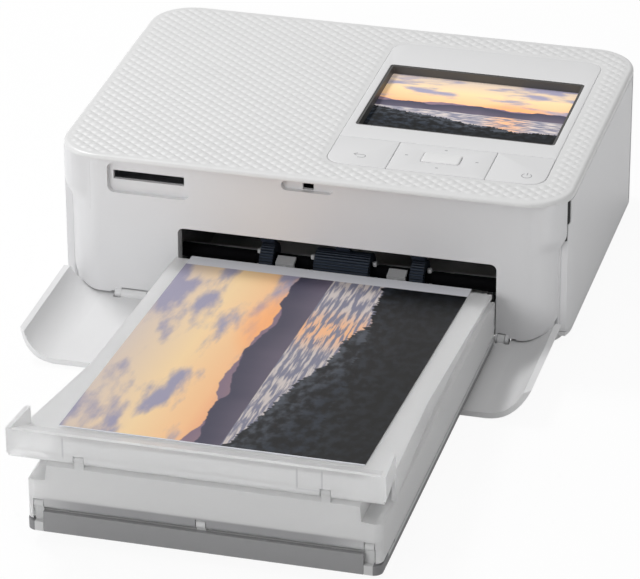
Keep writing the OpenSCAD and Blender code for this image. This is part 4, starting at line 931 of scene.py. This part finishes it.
finish_node(metal("head_arm_zinc", (0.56, 0.57, 0.58), 0.32), "head_arm")
finish_node(metal("head_aluminium", (0.62, 0.63, 0.65), 0.36), "thermal_head")
finish_node(plastic("ribbon_plastic", (0.03, 0.031, 0.036), 0.4, mottle=0.1), "ribbon_cassette")
ease_edges(0.0002, "ribbon_cassette")

# yellow, magenta and cyan lengths and a clear one follow each other on the film, once each pitch
film_group, into, out = new_group("dye_film", {"Pitch": 0.018},
    {"Colour": (0.2, 0.2, 0.2, 1), "Roughness": 0.1, "Height": 0.0})
g = film_group
place = spot_of(g)
turn_of = calc(g, "FRACT", calc(g, "DIVIDE", split(g, place)["Y"], into["Pitch"]))
bands = ramp(g, turn_of, (0.0, tone(196, 168, 60)), (0.33, tone(140, 44, 92)), (0.66, tone(40, 92, 132)),
    (0.97, tone(60, 58, 62)))
bands.node.color_ramp.interpolation = "CONSTANT"
g.links.new(bands, out["Colour"])
crease = noise(g, place, 1.0, 3, (30, 400, 30))
g.links.new(calc(g, "MULTIPLY_ADD", crease, 0.1, 0.08), out["Roughness"])
g.links.new(crease, out["Height"])
finish_node(material_from("dye_film", film_group, {}, 0.00002), "ribbon_film")
windings = 26000.0               # turns of film in a metre of a spool's radius, times two pi
for label in ("supply_spool", "takeup_spool"):
    lo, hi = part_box(label)
    wound = plastic(label + "_wound", (0.075, 0.05, 0.04), 0.25, grain=300)
    tree, shader, about = turned(wound, (0, (lo[1] + hi[1]) / 2, (lo[2] + hi[2]) / 2))
    wave = calc(tree, "SINE", calc(tree, "MULTIPLY", about["Radius"], windings))
    rings = calc(tree, "MULTIPLY_ADD", wave, 0.25, 0.85)
    tree.links.new(scaled(tree, feeding(shader, "Base Color"), rings), shader.inputs["Base Color"])
    finish_node(wound, label)

# ---------------------------------------------------------------- paper cassette
# A translucent grey tray with a darker bar across its front. A sprung plate lifts the stack of
# paper to the rollers. It slides into the body along two rails.

path_x = 0.0102                  # the middle of the paper path
foot_high, foot_rise, foot_front = 0.0062, 0.0019, -0.138
post_off, post_half = 0.0537, 0.0015
tray_grey = plastic("tray_grey", (0.62, 0.622, 0.625), 0.4, mottle=0.02, Transmission_Weight=0.12)
tree = tray_grey.node_tree
shader = tree.nodes["Principled BSDF"]
at = split(tree, spot_of(tree))


def distance_from(tree, value, middle):
    """How far a value lies from a middle, on either side."""
    return calc(tree, "ABSOLUTE", calc(tree, "SUBTRACT", value, middle))


# the foot is darker, and higher at the front; two posts in it are as light as the rest
beside = distance_from(tree, distance_from(tree, at["X"], path_x), post_off)
foot_top = calc(tree, "MULTIPLY_ADD", calc(tree, "LESS_THAN", at["Y"], foot_front), foot_rise, foot_high)
foot = calc(tree, "MULTIPLY", calc(tree, "LESS_THAN", at["Z"], foot_top),
    calc(tree, "GREATER_THAN", beside, post_half))
tree.links.new(blended(tree, foot, feeding(shader, "Base Color"), tone(134, 134, 136)),
    shader.inputs["Base Color"])
finish_node(tray_grey, "cassette_tray")
ease_edges(0.0003, "cassette_tray", "cassette_bar")
finish_node(plastic("bar_grey", (0.265, 0.265, 0.27), 0.4), "cassette_bar")
finish_node(metal("lift_sheet", (0.6, 0.6, 0.61), 0.35, (400, 60, 400)), "lift_plate")

# the stack shows the edges of its sheets as fine stripes, with painted shade in the gaps between the sheets
sheet_group, into, out = new_group("paper_edges", {"Sheet": 0.00025},
    {"Colour": (0.8, 0.8, 0.8, 1), "Roughness": 0.5, "Height": 0.0})
g = sheet_group
place = spot_of(g)
sheets = calc(g, "DIVIDE", split(g, place)["Z"], into["Sheet"])
# painted shade in the gap under each sheet, light on the sheet's own edge
sheet_gap_shade = calc(g, "MULTIPLY_ADD", calc(g, "SINE", calc(g, "MULTIPLY", sheets, 6.2832)), 0.5, 0.5)
g.links.new(blended(g, sheet_gap_shade, tone(206, 206, 204), tone(240, 240, 237)), out["Colour"])
g.links.new(calc(g, "MULTIPLY_ADD", noise(g, place, 900), 0.1, 0.45), out["Roughness"])
g.links.new(noise(g, place, 1400, 4), out["Height"])
finish_node(material_from("paper_sheets", sheet_group, {}, 0.000008), "paper_stack")

# ---------------------------------------------------------------- inner cover and output lid
# Both are frosted clear plastic. The inner cover turns on a pin over the front bar, and the
# output lid, with the wall that stops the prints, on a second pin above it.


def frosted(name, shade, dim):
    """Frosted clear plastic; shade(tree, x, y, z) masks where painted shade stands for something seen dimly
    through it.
    """
    m = plastic(name, (0.96, 0.961, 0.963), 0.28, mottle=0.015, Transmission_Weight=0.52, IOR=1.36)
    tree = m.node_tree
    shader = tree.nodes["Principled BSDF"]
    painted_shade_mask = shade(tree, *split(tree, spot_of(tree)))
    tree.links.new(blended(tree, painted_shade_mask, feeding(shader, "Base Color"), tone(dim, dim, dim + 2)),
        shader.inputs["Base Color"])
    return m


def near(tree, value, middle, reach):
    """1 within a reach of the middle, 0 elsewhere, with a soft edge."""
    return rising(tree, distance_from(tree, value, middle), reach * 1.3, reach * 0.7)


def joined(tree, kind, *masks):
    """Masks joined by MULTIPLY, where all of them are set, or by MAXIMUM, where any of them is."""
    mask = masks[0]
    for other in masks[1:]:
        mask = calc(tree, kind, mask, other)
    return mask


# middle and half size of the painted shades that stand for the forms behind the walls, and the depths of the
# two front walls
cover_wall_y, shelf_z, shelf_half, shelf_reach = -0.1450, 0.0144, 0.0017, 0.0490
lid_wall_y, rib_z, rib_reach, rib_half = -0.1465, 0.0357, 0.0034, 0.0003
rib_places = (-0.0348, 0.0412, 0.0492)
stop_x, stop_reach, stop_z = 0.0452, 0.0042, 0.0322


def painted_shelf_shade(tree, x, y, z):
    """Painted shade on the inner cover's front wall, where the shelf under the pins lies behind it."""
    return joined(tree, "MULTIPLY", calc(tree, "LESS_THAN", y, cover_wall_y),
        near(tree, z, shelf_z, shelf_half), near(tree, x, path_x, shelf_reach))


def painted_rib_shade(tree, x, y, z):
    """Painted shade lines on the lid's front wall for three ribs behind it and the stop between two of them.
    """
    stop = joined(tree, "MULTIPLY", near(tree, x, stop_x, stop_reach), near(tree, z, stop_z, rib_half))
    line = joined(tree, "MAXIMUM", *(near(tree, x, rib_x, rib_half) for rib_x in rib_places), stop)
    return joined(tree, "MULTIPLY", calc(tree, "LESS_THAN", y, lid_wall_y), near(tree, z, rib_z, rib_reach),
        line)


# painted shade in the frosted colour stands for the forms behind the two front walls
finish_node(frosted("frosted_cover", painted_shelf_shade, 192), "cassette_cover")
finish_node(frosted("frosted_lid", painted_rib_shade, 224), "output_lid")
ease_edges(0.0005, "cassette_cover", "output_lid")

# ---------------------------------------------------------------- print
# One finished sheet lies on the lid with its picture's top to the left; its rear end keeps the
# white margin that is torn off along a perforation.

lo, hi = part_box("print_sheet")
margin_front, margin_rear = 0.0005, 0.0072
picture_start, picture_length = lo[1] + 0.0006, hi[1] - lo[1] - 0.0078
finish_node(picture_material("print_face", ("Y", picture_start, picture_length), ("X", hi[0], lo[0] - hi[0]),
    0.32, margin=(lo[1] + margin_front, hi[1] - margin_rear), Specular_IOR_Level=0.3), "print_sheet")
